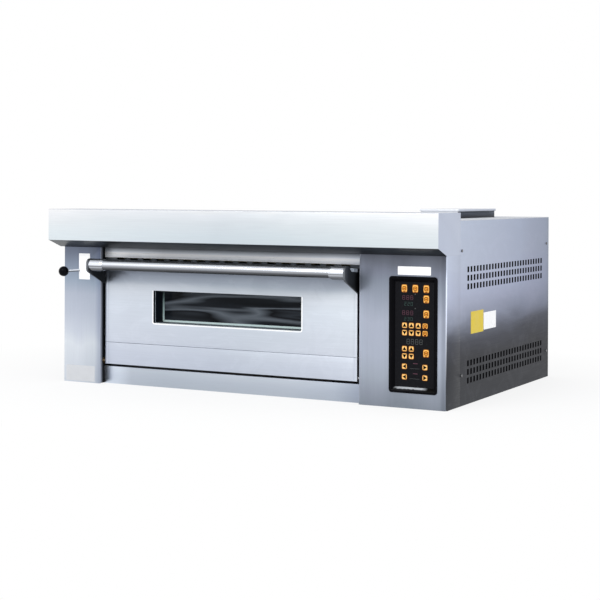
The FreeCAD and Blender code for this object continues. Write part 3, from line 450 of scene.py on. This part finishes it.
# Fascia below the door: painted light at the left end and painted shade toward the right end, a little
# lighter toward the top.
SILL_LEVELS = [(0.0, (0.50, 0.55, 0.62)), (0.03, (0.52, 0.57, 0.65)), (0.06, (0.58, 0.63, 0.70))]
SILL_SHADE_ACROSS = [(-0.525, (1.6, 1.6, 1.6)), (-0.46, (1.25, 1.25, 1.25)), (-0.42, (1.0, 1.0, 1.0)),
              (-0.30, (0.93, 0.94, 0.94)), (0.15, (0.98, 0.98, 0.98)), (0.30, (0.92, 0.93, 0.95)),
              (0.39, (0.66, 0.68, 0.74))]
# Left post: painted shade of the hood deepening toward the top, and painted shade toward its edge by the
# door.
LEFT_POST_LEVELS = [(0.0, (0.66, 0.71, 0.78)), (0.05, (0.70, 0.75, 0.82)), (0.12, (0.79, 0.84, 0.90)),
                    (0.16, (0.68, 0.73, 0.82)), (0.22, (0.58, 0.63, 0.73)), (0.28, (0.52, 0.57, 0.67)),
                    (0.32, (0.38, 0.45, 0.55)), (0.36, (0.28, 0.33, 0.42)), (0.40, (0.19, 0.22, 0.29)),
                    (0.436, (0.14, 0.16, 0.21))]
LEFT_POST_SHADE_ACROSS = [(-0.665, (1.0, 1.0, 1.0)), (-0.61, (0.95, 0.95, 0.96)), (-0.545, (0.86, 0.87, 0.88)),
                   (-0.530, (0.62, 0.64, 0.70)), (-0.523, (0.58, 0.60, 0.66))]
# Right post: painted shade deepening toward the top under the hood and toward the floor, painted light at
# its edge by the door, and a painted dark line before its bend to the side.
RIGHT_POST_LEVELS = [(0.0, (0.225, 0.255, 0.30)), (0.05, (0.28, 0.31, 0.37)), (0.10, (0.36, 0.40, 0.47)),
                     (0.16, (0.41, 0.45, 0.54)), (0.25, (0.41, 0.445, 0.535)), (0.30, (0.335, 0.37, 0.45)),
                     (0.35, (0.26, 0.295, 0.36)), (0.385, (0.20, 0.22, 0.28)), (0.41, (0.145, 0.16, 0.20)),
                     (0.436, (0.105, 0.115, 0.145))]
RIGHT_POST_SHADE_ACROSS = [(0.391, (1.10, 1.10, 1.10)), (0.42, (1.0, 1.0, 1.0)), (0.47, (1.0, 1.0, 1.0)),
                    (0.645, (1.0, 1.0, 1.0)), (0.653, (0.75, 0.75, 0.76)), (0.658, (0.70, 0.70, 0.72)),
                    (0.665, (1.0, 1.0, 1.0))]
# Side panels: painted shade that deepens toward the bottom and toward the back.
SIDE_LEVELS = [(0.0, (0.058, 0.062, 0.070)), (0.05, (0.052, 0.055, 0.062)),
               (0.12, (0.046, 0.048, 0.056)), (0.18, (0.078, 0.084, 0.106)),
               (0.21, (0.138, 0.151, 0.191)), (0.25, (0.345, 0.38, 0.485)),
               (0.29, (0.48, 0.52, 0.66)), (0.33, (0.55, 0.60, 0.76)), (0.42, (0.60, 0.66, 0.80)),
               (0.54, (0.605, 0.675, 0.815))]
SIDE_SHADE_ACROSS = [(-0.45, (1.0, 1.0, 1.0)), (-0.30, (0.95, 0.95, 0.96)), (0.0, (0.84, 0.84, 0.87)),
              (0.15, (0.76, 0.77, 0.81)), (0.27, (0.68, 0.68, 0.72)), (0.42, (0.60, 0.61, 0.65)),
              (0.45, (0.55, 0.57, 0.58))]
# Jambs beside the door: painted shade that deepens to black behind the posts' front.
JAMB_SHADE_ACROSS = [(-0.451, (1.0, 1.0, 1.0)), (-0.446, (0.72, 0.72, 0.72)), (-0.441, (0.24, 0.24, 0.25)),
              (-0.436, (0.02, 0.02, 0.02)), (-0.400, (0.01, 0.01, 0.01))]
# Ends of the vent cowl: painted shade under the lid, lighter on the lid's rim.
COWL_END_LEVELS = [(0.535, (0.012, 0.014, 0.016)), (0.540, (0.05, 0.055, 0.07)),
                   (0.550, (0.16, 0.18, 0.22)), (0.5555, (0.09, 0.10, 0.12)),
                   (0.5570, (0.50, 0.54, 0.62)), (0.5640, (0.66, 0.70, 0.80))]


def even(colour):
    """Levels of one colour from the floor to the top."""
    return [(0.0, colour), (0.56, colour)]


MATERIALS = {
    "hood": brushed_steel("steel_hood", HOOD_LEVELS, shade_across=("X", HOOD_SHADE_ACROSS), rough=0.38, bends=True),
    # The hood's ends and underside: darker copies of its steel, painted shade.
    "hood_end": brushed_steel("steel_hood_end", even((0.53, 0.58, 0.70)), "z", rough=0.38, bends=True),
    "hood_under": brushed_steel("steel_hood_under", even((0.065, 0.075, 0.085)), rough=0.40),
    "cowl": brushed_steel("steel_cowl", even((0.80, 0.82, 0.85)), rough=0.50, metal=0.4, gloss=0.3),
    "cowl_end": brushed_steel("steel_cowl_end", COWL_END_LEVELS, "y", rough=0.40, sway=0.0005),
    "door": brushed_steel("steel_door", DOOR_LEVELS, shade_across=("X", DOOR_SHADE_ACROSS), rough=0.36, sway=0.012,
                          marks=0.02, bends=True),
    "rail": brushed_steel("steel_rail", RAIL_LEVELS, shade_across=("X", RAIL_SHADE_ACROSS), rough=0.30, sway=0.001,
                          metal=0.35),
    "sill": brushed_steel("steel_sill", SILL_LEVELS, shade_across=("X", SILL_SHADE_ACROSS), sway=0.004),
    "left_post": brushed_steel("steel_left_post", LEFT_POST_LEVELS, "z", ("X", LEFT_POST_SHADE_ACROSS),
                               bends=True),
    "right_post": brushed_steel("steel_right_post", RIGHT_POST_LEVELS, "z", ("X", RIGHT_POST_SHADE_ACROSS),
                                sway=0.020, metal=0.6, bends=True),
    "side": brushed_steel("steel_side", SIDE_LEVELS, "y", ("Y", SIDE_SHADE_ACROSS), sway=0.018, marks=0.015,
                          grazing=0.70, bends=True),
    "jamb": brushed_steel("steel_jamb", even((0.42, 0.45, 0.52)), "z", ("Y", JAMB_SHADE_ACROSS), rough=0.60,
                          metal=0.0, gloss=0.05),
    "rear": brushed_steel("steel_rear", even((0.52, 0.54, 0.58)), rough=0.40, sway=0.0, marks=0.02),
    "top": brushed_steel("steel_top", even((0.58, 0.60, 0.64)), rough=0.55, metal=0.3, gloss=0.3),
    "galvanised_sheet": galvanised(),
    "chamber_steel": heat_tinted_steel(),
    "zinc_screws": chrome("zinc_screws", (0.17, 0.17, 0.18), 0.28),
    "spring_steel": chrome("spring_steel", (0.30, 0.30, 0.31), 0.32),
    "bush_bronze": chrome("bush_bronze", (0.55, 0.38, 0.18), 0.35),
    "polished_chrome": chrome("polished_chrome", (0.80, 0.81, 0.83), 0.08),
    "handle_steel": turned_bar("handle_steel", TUBE_BANDS, 0.9),
    "collar_steel": turned_bar("collar_steel", COLLAR_BANDS, 0.9),
    "rod_steel": turned_bar("rod_steel", ROD_BANDS, 0.3),
    "bracket_steel": bracket_steel(),
    "black_moulding": moulded("black_moulding", (0.0035, 0.0035, 0.0045), 0.40, sheen=0.02),
    "knob_black": moulded("knob_black", (0.002, 0.002, 0.003), 0.06, 600.0, 0.02, 0.05),
    "bezel_sill": bezel_sill(),
    "white_bead": moulded("white_bead", (0.86, 0.88, 0.90), 0.35, 300.0, 0.05),
    "glazing_bead": glazing_seal(),
    "reveal_wall": moulded("reveal_wall", (0.006, 0.009, 0.014), 0.45, 500.0, 0.1, 0.05),
    "reveal_floor": moulded("reveal_floor", (0.030, 0.040, 0.046), 0.40, 500.0, 0.1, 0.1),
    "reveal_seam": moulded("reveal_seam", (0.30, 0.34, 0.38), 0.40, 500.0, 0.1, 0.1),
    "panel_gloss": gloss_panel(),
    "key_arrow": key_material("key_arrow", (1.0, 0.62, 0.24), (1.0, 0.56, 0.16), (0.50, 0.13, 0.01)),
    "key_plain": key_material("key_plain", (0.95, 0.36, 0.04), (1.0, 0.52, 0.11), (0.50, 0.13, 0.01)),
    "circuit_board": moulded("circuit_board", (0.02, 0.10, 0.04), 0.45, 500.0, 0.4),
    "switch_plastic": moulded("switch_plastic", (0.42, 0.43, 0.44), 0.45),
    "tinted_glass": tinted_glass(),
    "seal_rubber": moulded("seal_rubber", (0.02, 0.02, 0.02), 0.65, 400.0, 0.5),
    "hearth_slab": porous("hearth_slab", (0.30, 0.26, 0.21), (0.52, 0.47, 0.39), 240.0, 0.95, 0.6),
    "mineral_wool": porous("mineral_wool", (0.34, 0.29, 0.14), (0.62, 0.56, 0.34), 160.0, 1.0, 1.0),
    "element_steel": chrome("element_steel", (0.10, 0.09, 0.09), 0.50),
    "lamp_glass": lamp_glass(),
    "boiler_steel": brushed_steel("boiler_steel", even((0.50, 0.51, 0.53)), rough=0.42),
    "valve_brass": chrome("valve_brass", (0.62, 0.46, 0.20), 0.30),
    "ink": moulded("legend_ink", (0.005, 0.004, 0.003), 0.6, 600.0, 0.1, 0.0),
    "brown_ink": moulded("legend_brown_ink", (0.10, 0.02, 0.003), 0.6, 600.0, 0.1, 0.0),
    # The white labels get a small painted glow.
    "white_label": sticker("white_label", (0.97, 0.97, 0.97), 0.10),
    "yellow_label": sticker("yellow_label", (0.80, 0.60, 0.04)),
    "silver_label": sticker("silver_label", (0.62, 0.63, 0.65)),
    "red_segment": glowing("red_segment", (0.085, 0.018, 0.040), 0.20),
    "green_segment": glowing("green_segment", (0.016, 0.060, 0.048), 0.20),
    "dim_segment": glowing("dim_segment", (0.055, 0.062, 0.062), 0.10),
    # Black for painted shade: in the side panels' slots, on the sheets behind them and in the screws'
    # recesses.
    "recess_black": moulded("recess_black", (0.003, 0.003, 0.004), 0.6, 500.0, 0.1, 0.02),
}

STEEL_PARTS = {
    "canopy_hood": "hood", "vent_cowl": "cowl", "top_panel": "top", "rear_panel": "rear",
    "left_side_panel": "side", "right_side_panel": "side",
    "left_front_post": "left_post", "right_front_post": "right_post",
    "upper_front_rail": "rail", "bottom_fascia": "sill",
    "door_outer_skin": "door", "door_lower_cover": "door", "door_inner_liner": "chamber_steel",
}
OWN_FINISH = {"handle_tube": "handle_steel", "damper_rod": "rod_steel", "damper_knob": "knob_black",
              "handle_brackets": "bracket_steel"}
# Faces turned another way get other materials: painted shade in darker copies of the steel under and at the
# ends of the hood, on the cowl's ends and on the posts' jambs and sides, a painted highlight on the bezel's
# upward slopes, and the top panel's steel on the hood's top.
TURNED_FACES = {
    "canopy_hood": {"left": "hood_end", "right": "hood_end", "under": "hood_under", "over": "top"},
    "vent_cowl": {"left": "cowl_end", "right": "cowl_end"},
    "left_front_post": {"left": "side", "right": "jamb"},
    "right_front_post": {"right": "side", "left": "jamb"},
    "control_bezel": {"over": "bezel_sill"},
}
ARROWS = {"up": 0, "left": 90, "down": 180, "right": 270}


def arrow_of(node):
    """Which way a key's arrow points, or None for a key with a sign, as the fourth of each row is."""
    if node.endswith("_4"):
        return None
    return next((way for way in ARROWS if way in node.split("_")), None)


def finish_of(node):
    """The material for a CAD node: its part of the casing, its own finish, its kind of key, or its slot."""
    if node in STEEL_PARTS:
        return MATERIALS[STEEL_PARTS[node]]
    if node in OWN_FINISH:
        return MATERIALS[OWN_FINISH[node]]
    if node in KEY_NODES:
        return MATERIALS["key_arrow" if arrow_of(node) else "key_plain"]
    return MATERIALS[SLOT_OF[node]]


def dress(obj, material):
    obj.data.materials.clear()
    obj.data.materials.append(material)


# ---- mesh helpers --------------------------------------------------------------------------------
side_low, side_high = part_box("right_side_panel")
SHEET = round(side_high.x - side_low.x, 5)
SAME_POINT = 2e-6               # vertices closer than this are one
CORNER_STEPS = 4                # straight pieces in a rounded corner
LABEL_CORNER = 0.0015


def new_piece(name, mesh_data, material, body):
    obj = bpy.data.objects.new(name, mesh_data)
    bpy.context.scene.collection.objects.link(obj)
    dress(obj, material)
    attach(obj, body)
    return obj


def to_mesh(name, bm, smooth_angle=None):
    bmesh.ops.recalc_face_normals(bm, faces=bm.faces)
    data = bpy.data.meshes.new(name)
    bm.to_mesh(data)
    bm.free()
    if smooth_angle is not None:
        data.shade_smooth()
        data.set_sharp_from_angle(angle=math.radians(smooth_angle))
    return data


def rounded_outline(width, height, radius):
    """Corners of a rounded rectangle about the origin, anticlockwise."""
    points = []
    for quarter in range(4):
        cx = (width / 2 - radius) * (1 if quarter in (0, 3) else -1)
        cy = (height / 2 - radius) * (1 if quarter in (0, 1) else -1)
        for step in range(CORNER_STEPS + 1):
            angle = math.pi / 2 * (quarter + step / CORNER_STEPS)
            points.append((cx + radius * math.cos(angle), cy + radius * math.sin(angle)))
    return points


FACING = {
    "front": (Vector((1, 0, 0)), Vector((0, 0, 1)), Vector((0, -1, 0))),
    "right": (Vector((0, 1, 0)), Vector((0, 0, 1)), Vector((1, 0, 0))),
    "left": (Vector((0, -1, 0)), Vector((0, 0, 1)), Vector((-1, 0, 0))),
    "back": (Vector((-1, 0, 0)), Vector((0, 0, 1)), Vector((0, 1, 0))),
}


def extrude_outline(bm, points, centre, facing, thickness):
    """A prism on an outline in the plane that faces one way; centre lies on its back face."""
    across, up, out = FACING[facing]
    base = [bm.verts.new(centre + across * x + up * y) for x, y in points]
    face = bm.faces.new(base)
    made = bmesh.ops.extrude_face_region(bm, geom=[face])
    verts = [item for item in made["geom"] if isinstance(item, bmesh.types.BMVert)]
    bmesh.ops.translate(bm, verts=verts, vec=out * thickness)


def plate(name, centre, size, facing, material, body, thickness=0.0004):
    bm = bmesh.new()
    extrude_outline(bm, rounded_outline(*size, LABEL_CORNER), Vector(centre), facing, thickness)
    return new_piece(name, to_mesh(name, bm), MATERIALS[material], body)


def facing_of(normal):
    """The way a face is turned; the back counts as the front, because both have the plain finish."""
    if abs(normal.x) > 0.7:
        return "left" if normal.x < 0 else "right"
    if normal.z < -0.4:
        return "under"
    return "over" if normal.z > 0.3 else "front"


def soften(node, bend, edge_round):
    """A copy of a folded-sheet node with its bends and edges rounded, which stands for the node.

    A bend wider than the sheet is only made at the node's outline, and its inner side is rounded
    by a sheet less, so that the sheet keeps its thickness.
    """
    low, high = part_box(node)
    narrow, near_outline, short = 0.003, 0.004, 0.012
    sharp = math.radians(35)
    bm = bmesh.new()
    bm.from_mesh(NODES[node].data)
    bmesh.ops.remove_doubles(bm, verts=bm.verts, dist=SAME_POINT)
    bmesh.ops.dissolve_limit(bm, angle_limit=math.radians(0.5), verts=bm.verts, edges=bm.edges,
                             delimit=set())

    def wide(face):
        return face.calc_area() / max(edge.calc_length() for edge in face.edges) > narrow

    def at_outline(edge):
        return all(min(point.co.x - low.x, high.x - point.co.x, point.co.z - low.z, high.z - point.co.z)
                   < near_outline for point in edge.verts)

    def bevel(width, both_wide, outward):
        edges = [edge for edge in bm.edges
                 if len(edge.link_faces) == 2 and edge.calc_length() > short
                 and outward * edge.calc_face_angle_signed(0.0) > sharp
                 and all(wide(face) for face in edge.link_faces) == both_wide
                 and (bend < SHEET or not both_wide or at_outline(edge))]
        bmesh.ops.bevel(bm, geom=edges, offset=width, segments=3, profile=0.5, affect="EDGES",
                        clamp_overlap=True)

    bevel(bend, True, 1)
    if bend > SHEET:
        bevel(bend - SHEET, True, -1)
    bevel(edge_round, False, 1)
    name = node + "_folded"
    copy = new_piece(name, to_mesh(name, bm, 30), finish_of(node), BODY_OF[node])
    turned = TURNED_FACES.get(node, {})
    for finish in turned.values():
        copy.data.materials.append(MATERIALS[finish])
    for face in copy.data.polygons:
        way = facing_of(face.normal)
        if way in turned:
            face.material_index = 1 + list(turned).index(way)
    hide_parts(node)
    return copy


def repainted(node, suffix, material, chosen):
    """A copy of a node with its chosen faces in another material, which stands for the node."""
    low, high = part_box(node)
    copy = new_piece(node + suffix, NODES[node].data.copy(), finish_of(node), BODY_OF[node])
    copy.data.materials.append(MATERIALS[material])
    for face in copy.data.polygons:
        face.material_index = int(chosen(face, low, high))
    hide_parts(node)


def in_slot(face, low, high):
    """Whether a face of a side panel is a slot's wall, and not the panel's own edge."""
    inset = min(face.center.y - low.y, high.y - face.center.y, face.center.z - low.z,
                high.z - face.center.z)
    return abs(face.normal.x) < 0.5 and inset > 0.008


def on_collar(face, low, high):
    """Whether a face of the handle is on one of the collars, 50 mm long at each end."""
    return min(face.center.x - low.x, high.x - face.center.x) < 0.051


# ---- CAD nodes: finishes, and rounded bends on the visible sheet metal ----------------------------
for node_name, node_object in NODES.items():
    dress(node_object, finish_of(node_name))

for node_name, bend_radius in (
        ("canopy_hood", 0.005), ("left_front_post", 0.0055), ("right_front_post", 0.0055),
        ("door_outer_skin", 0.0045), ("upper_front_rail", 0.0013), ("bottom_fascia", 0.0013),
        ("door_lower_cover", 0.0013), ("vent_cowl", 0.0013), ("handle_brackets", 0.0013),
        ("control_bezel", 0.0013)):
    soften(node_name, bend_radius, 0.0005)
# Slot walls of the side panels in black, painted shade inside the slots.
for node_name in ("left_side_panel", "right_side_panel"):
    repainted(node_name, "_punched", "recess_black", in_slot)
repainted("handle_tube", "_collared", "collar_steel", on_collar)


# ---- black sheet behind the slots of the side panels, painted shade seen through them ----------------
def slot_shade_sheets():
    margin, gap, thickness = 0.030, 0.0002, 0.0005
    for node, facing, outward in (("right_side_panel", "right", 1), ("left_side_panel", "left", -1)):
        low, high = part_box(node)
        inner = low.x if outward > 0 else high.x
        centre = (inner - outward * (gap + thickness), (low.y + high.y) / 2, (low.z + high.z) / 2)
        size = (high.y - low.y - 2 * margin, high.z - low.z - 2 * margin)
        plate("dust_cloth_" + facing, centre, size, facing, "recess_black", "casing",
              thickness)


slot_shade_sheets()


# ---- labels, blank ---------------------------------------------------------------------------------
post_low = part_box("left_front_post")[0]
panel_low, panel_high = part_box("control_bezel")


def labels():
    """Each label's middle and size, on the posts' front plane or on the right side panel."""
    front, side = post_low.y, side_high.x
    panel_middle = (panel_low.x + panel_high.x) / 2
    for name, centre, size, facing, material in (
            ("label_left_post", (post_low.x + 0.079, front, 0.3725), (0.043, 0.083), "front", "white_label"),
            ("data_plate", (post_low.x + 0.065, front, 0.029), (0.112, 0.050), "front", "silver_label"),
            ("label_key_panel", (panel_middle + 0.003, front, panel_high.z + 0.0165), (0.102, 0.024),
             "front", "white_label"),
            ("label_side_yellow", (side, front + 0.237, 0.2345), (0.102, 0.065), "right", "yellow_label"),
            ("label_side_white", (side, front + 0.343, 0.2315), (0.105, 0.051), "right", "white_label")):
        plate(name, centre, size, facing, material, "casing")


labels()


# ---- key legends -----------------------------------------------------------------------------------
LEGEND_HEIGHT = 0.00025


def key_face(node):
    low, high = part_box(node)
    return Vector(((low.x + high.x) / 2, low.y, (low.z + high.z) / 2)), high.x - low.x, high.z - low.z


def arrow_points(size, degrees):
    """A triangle about the origin that points up, turned anticlockwise."""
    turn = math.radians(degrees)
    corners = [(-0.5, -0.38), (0.5, -0.38), (0.0, 0.45)]
    return [(size * (x * math.cos(turn) - y * math.sin(turn)),
             size * (x * math.sin(turn) + y * math.cos(turn))) for x, y in corners]


def bar(bm, centre, x, z, width, height):
    """An upright rectangle on a front face; x and z are measured from the centre."""
    outline = [(x - width / 2, z - height / 2), (x + width / 2, z - height / 2),
               (x + width / 2, z + height / 2), (x - width / 2, z + height / 2)]
    extrude_outline(bm, outline, centre, "front", LEGEND_HEIGHT)


def key_legend(node):
    """A dark arrow on the arrow keys, and a small framed sign on the others."""
    centre, width, height = key_face(node)
    bm = bmesh.new()
    direction = arrow_of(node)
    if direction:
        ink = "ink"
        outline = arrow_points(width * 0.72, ARROWS[direction])
        extrude_outline(bm, outline, centre, "front", LEGEND_HEIGHT)
    else:
        ink = "brown_ink"
        reach, line = width * 0.25, width * 0.105
        for side in (-1, 1):
            bar(bm, centre, side * reach, 0, line, reach * 2)
            bar(bm, centre, 0, side * reach, reach * 2 - line, line)
        bar(bm, centre, 0, 0, reach * 1.1, line)
        bar(bm, centre, 0, -height * 0.36, reach * 1.6, line)
    name = "legend" + node[len("key"):]
    new_piece(name, to_mesh(name, bm), MATERIALS[ink], BODY_OF[node])


for node_name in KEY_NODES:
    key_legend(node_name)


# ---- displays ----------------------------------------------------------------------------------------
SEGMENTS = {"0": "abcdef", "1": "bc", "2": "abged", "3": "abgcd", "4": "fgbc", "5": "afgcd",
            "6": "afgedc", "7": "abc", "8": "abcdefg", "9": "abcdfg"}
fascia_low, fascia_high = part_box("control_fascia")
fascia_middle = Vector(((fascia_low.x + fascia_high.x) / 2, fascia_low.y,
                        (fascia_low.z + fascia_high.z) / 2))


def digit(bm, sign, centre, x, z, width, height):
    line = height * 0.13
    gap = line * 0.35
    places = {
        "a": (0, height / 2, width, line), "g": (0, 0, width, line), "d": (0, -height / 2, width, line),
        "f": (-width / 2, height / 4, line, height / 2), "b": (width / 2, height / 4, line, height / 2),
        "e": (-width / 2, -height / 4, line, height / 2), "c": (width / 2, -height / 4, line, height / 2),
    }
    for segment in SEGMENTS[sign]:
        dx, dz, across, tall = places[segment]
        bar(bm, centre, x + dx, z + dz, across - gap, tall - gap)


def display(name, signs, left, bottom, pitch, size, material):
    """A row of seven-segment digits; left and bottom are measured from the fascia's middle."""
    bm = bmesh.new()
    width, height = size
    for index, sign in enumerate(signs):
        digit(bm, sign, fascia_middle, left + pitch * (index + 0.5), bottom + height / 2, width, height)
    new_piece(name, to_mesh(name, bm), MATERIALS[material], "casing")


def pilot_line(name, left, right, level, thickness, material):
    bm = bmesh.new()
    bar(bm, fascia_middle, (left + right) / 2, level, right - left, thickness)
    new_piece(name, to_mesh(name, bm), MATERIALS[material], "casing")


def displays():
    display("display_upper_actual", "888", -0.040, 0.0995, 0.0125, (0.0070, 0.0115), "red_segment")
    display("display_upper_set", "220", -0.034, 0.0825, 0.0100, (0.0055, 0.0095), "green_segment")
    display("display_lower_actual", "888", -0.040, 0.0560, 0.0125, (0.0070, 0.0115), "red_segment")
    display("display_lower_set", "230", -0.034, 0.0400, 0.0100, (0.0055, 0.0085), "green_segment")
    display("display_timer", "8888", -0.026, -0.0270, 0.0132, (0.0078, 0.0138), "dim_segment")
    for index, level in enumerate((-0.0965, -0.1255)):
        pilot_line(f"pilot_line_{index}", -0.014, 0.016, level, 0.0008, "dim_segment")
        pilot_line(f"pilot_mark_{index}", -0.004, 0.010, level + 0.0145, 0.0020, "red_segment")
    for index, level in enumerate((0.1155, 0.0750)):
        pilot_line(f"pilot_point_{index}", 0.0005, 0.0035, level, 0.0028, "dim_segment")


displays()


# ---- screws: crossed recess on each head, drawn as a black cross of painted shade -----------------------
def screw_heads():
    """Facings and places of the pan heads, from the loose parts of the screws' node."""
    bm = bmesh.new()
    bm.from_mesh(NODES["panel_screws"].data)
    bmesh.ops.remove_doubles(bm, verts=bm.verts, dist=SAME_POINT)
    seen, heads = set(), []
    for vert in bm.verts:
        if vert in seen:
            continue
        group, stack = [], [vert]
        while stack:
            current = stack.pop()
            if current in seen:
                continue
            seen.add(current)
            group.append(current.co.copy())
            stack.extend(edge.other_vert(current) for edge in current.link_edges)
        low = Vector([min(point[axis] for point in group) for axis in range(3)])
        high = Vector([max(point[axis] for point in group) for axis in range(3)])
        middle = (low + high) / 2
        if high.x > cad_high.x - 0.02 and middle.x > side_low.x - 0.01:
            heads.append(("right", Vector((high.x, middle.y, middle.z))))
        elif middle.x < post_low.x + 0.01:
            heads.append(("left", Vector((low.x, middle.y, middle.z))))
        else:
            heads.append(("back", Vector((middle.x, high.y, middle.z))))
    bm.free()
    return heads


def screw_recesses():
    bm = bmesh.new()
    arm, line = 0.0022, 0.0007
    sunk, thickness = 0.0003, 0.00028
    cross = [(-arm, -line / 2), (-line / 2, -line / 2), (-line / 2, -arm), (line / 2, -arm),
             (line / 2, -line / 2), (arm, -line / 2), (arm, line / 2), (line / 2, line / 2),
             (line / 2, arm), (-line / 2, arm), (-line / 2, line / 2), (-arm, line / 2)]
    for facing, place in screw_heads():
        out = FACING[facing][2]
        extrude_outline(bm, cross, place - out * sunk, facing, thickness)
    new_piece("screw_recesses", to_mesh("screw_recesses", bm), MATERIALS["recess_black"], "casing")


screw_recesses()


# ---- window: rim of painted highlight on the face, lined reveal with a seam, glazing bead at the pane ----
def u_outline(half_x, half_z, inner, outer, radius):
    """A U about the origin, open at the top, between two offsets from a rectangle's sides."""

    def run(offset):
        x, foot, turn = half_x + offset, -half_z - offset, radius + offset
        points = [(-x, half_z)]
        for middle, start in ((-x + turn, math.pi), (x - turn, math.pi * 1.5)):
            for step in range(CORNER_STEPS + 1):
                angle = start + math.pi / 2 * step / CORNER_STEPS
                points.append((middle + turn * math.cos(angle), foot + turn + turn * math.sin(angle)))
        return points + [(x, half_z)]

    return run(outer) + run(inner)[::-1]


def window_trim():
    """U-shaped trim round the window: each piece runs between two offsets from the hole's sides."""
    recess = next(item["box_m"] for item in frame["record"]["physics"]["openings"]
                  if item["name"] == "door_window_recess")
    slack = Vector((0.00175, 0.0, 0.002))       # from the opening's stated box to the hole's sides
    low, high = Vector(recess[0]) - slack, Vector(recess[1]) + slack
    half_x, half_z = (high.x - low.x) / 2, (high.z - low.z) / 2
    face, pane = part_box("door_outer_skin")[0].y, high.y + 0.002

    def around(name, y, inner, outer, radius, depth, material):
        bm = bmesh.new()
        extrude_outline(bm, u_outline(half_x, half_z, inner, outer, radius),
                        Vector(((low.x + high.x) / 2, y, (low.z + high.z) / 2)), "front", depth)
        return new_piece(name, to_mesh(name, bm), MATERIALS[material], "door")

    # Rim on the door's face: a pale strip of painted highlight along the window's fold.
    around("window_rim", face, -0.0002, 0.0042, 0.004, 0.0004, "white_bead")
    around("window_seam", face + 0.0110, -0.0014, -0.0005, 0.004, 0.0020, "reveal_seam")
    around("glazing_bead", pane, -0.0065, -0.0005, 0.007, 0.0015, "glazing_bead")
    reveal = around("window_reveal", pane - 0.0002, -0.0005, -0.0001, 0.002, pane - face - 0.0010,
                    "reveal_wall")
    # Upward faces of the reveal take a lighter copy of its dark lining, painted light.
    reveal.data.materials.append(MATERIALS["reveal_floor"])
    for polygon in reveal.data.polygons:
        polygon.material_index = int(polygon.normal.z > 0.5)


window_trim()


# ---- floor, world, lamps and camera --------------------------------------------------------------------
FLOOR_SIZE = 60.0


def background_rays(tree):
    """1 for camera, glossy and transmission rays, which see the white background, else 0."""
    path = tree.nodes.new("ShaderNodeLightPath")
    total = None
    for name in ("Is Camera Ray", "Is Glossy Ray", "Is Transmission Ray"):
        if total is None:
            total = path.outputs[name]
            continue
        joined = tree.nodes.new("ShaderNodeMath")
        joined.operation = "MAXIMUM"
        tree.links.new(total, joined.inputs[0])
        tree.links.new(path.outputs[name], joined.inputs[1])
        total = joined.outputs["Value"]
    return total


def studio_floor():
    """Pale floor: it keeps the object's shadow nearby and is plain white further out."""
    bm = bmesh.new()
    bmesh.ops.create_grid(bm, x_segments=2, y_segments=2, size=FLOOR_SIZE / 2)
    floor = bpy.data.objects.new("studio_floor", to_mesh("studio_floor", bm))
    floor.location.z = -0.0005
    bpy.context.scene.collection.objects.link(floor)
    shader = Shader("studio_floor", Roughness=0.9, Base_Color=(0.90, 0.90, 0.90, 1.0),
                    Specular_IOR_Level=0.0)
    away = shader.node("ShaderNodeVectorMath", operation="LENGTH")
    shader.link(shader.coordinates((1.0, 1.2, 1.0)), away.inputs[0])
    share = shader.math("MULTIPLY", background_rays(shader.tree),
                        shader.remap(away.outputs["Value"], 0.80, 1.0, 0.75, 1.5))
    white = shader.node("ShaderNodeEmission")
    white.inputs["Strength"].default_value = 1.0
    blend = shader.node("ShaderNodeMixShader")
    shader.link(share, blend.inputs[0])
    shader.link(shader.surface.outputs["BSDF"], blend.inputs[1])
    shader.link(white.outputs["Emission"], blend.inputs[2])
    shader.link(blend.outputs["Shader"], shader.tree.nodes["Material Output"].inputs["Surface"])
    dress(floor, shader.material)


def studio_world():
    """Soft cool light all round, and a white background."""
    world = bpy.data.worlds.new("studio_world")
    bpy.context.scene.world = world
    world.use_nodes = True
    tree = world.node_tree
    light = tree.nodes["Background"]
    light.inputs["Color"].default_value = (0.95, 0.97, 1.0, 1.0)
    light.inputs["Strength"].default_value = 0.80
    white = tree.nodes.new("ShaderNodeBackground")
    white.inputs["Color"].default_value = (1.0, 1.0, 1.0, 1.0)
    white.inputs["Strength"].default_value = 1.0
    blend = tree.nodes.new("ShaderNodeMixShader")
    tree.links.new(background_rays(tree), blend.inputs[0])
    tree.links.new(light.outputs["Background"], blend.inputs[1])
    tree.links.new(white.outputs["Background"], blend.inputs[2])
    tree.links.new(blend.outputs["Shader"], tree.nodes["World Output"].inputs["Surface"])


def softbox(name, place, target, size, power):
    lamp = bpy.data.lights.new(name, "AREA")
    lamp.shape = "RECTANGLE"
    lamp.size, lamp.size_y = size
    lamp.energy = power
    obj = bpy.data.objects.new(name, lamp)
    obj.location = place
    obj.rotation_euler = (Vector(target) - Vector(place)).to_track_quat("-Z", "Y").to_euler()
    bpy.context.scene.collection.objects.link(obj)


def studio_camera():
    """Three-quarter view from the right at the height of the oven's top, with the verticals upright."""
    data = bpy.data.cameras.new("camera")
    data.sensor_width = 36.0
    data.lens = 85.7
    data.shift_y = -0.1703
    camera = bpy.data.objects.new("camera", data)
    camera.location = (2.1783, -4.1817, 0.6081)
    camera.rotation_euler = (math.radians(90 - 0.15), math.radians(-0.26), math.radians(27.97))
    bpy.context.scene.collection.objects.link(camera)
    bpy.context.scene.camera = camera


studio_floor()
studio_world()
softbox("key_softbox", (-0.2, -3.4, 2.4), (0.0, -0.2, 0.3), (3.2, 1.8), 62.0)
softbox("fill_softbox", (3.6, -1.2, 2.0), (0.5, 0.0, 0.3), (1.6, 1.6), 18.0)
studio_camera()

scene = bpy.context.scene
scene.view_settings.view_transform = "Standard"
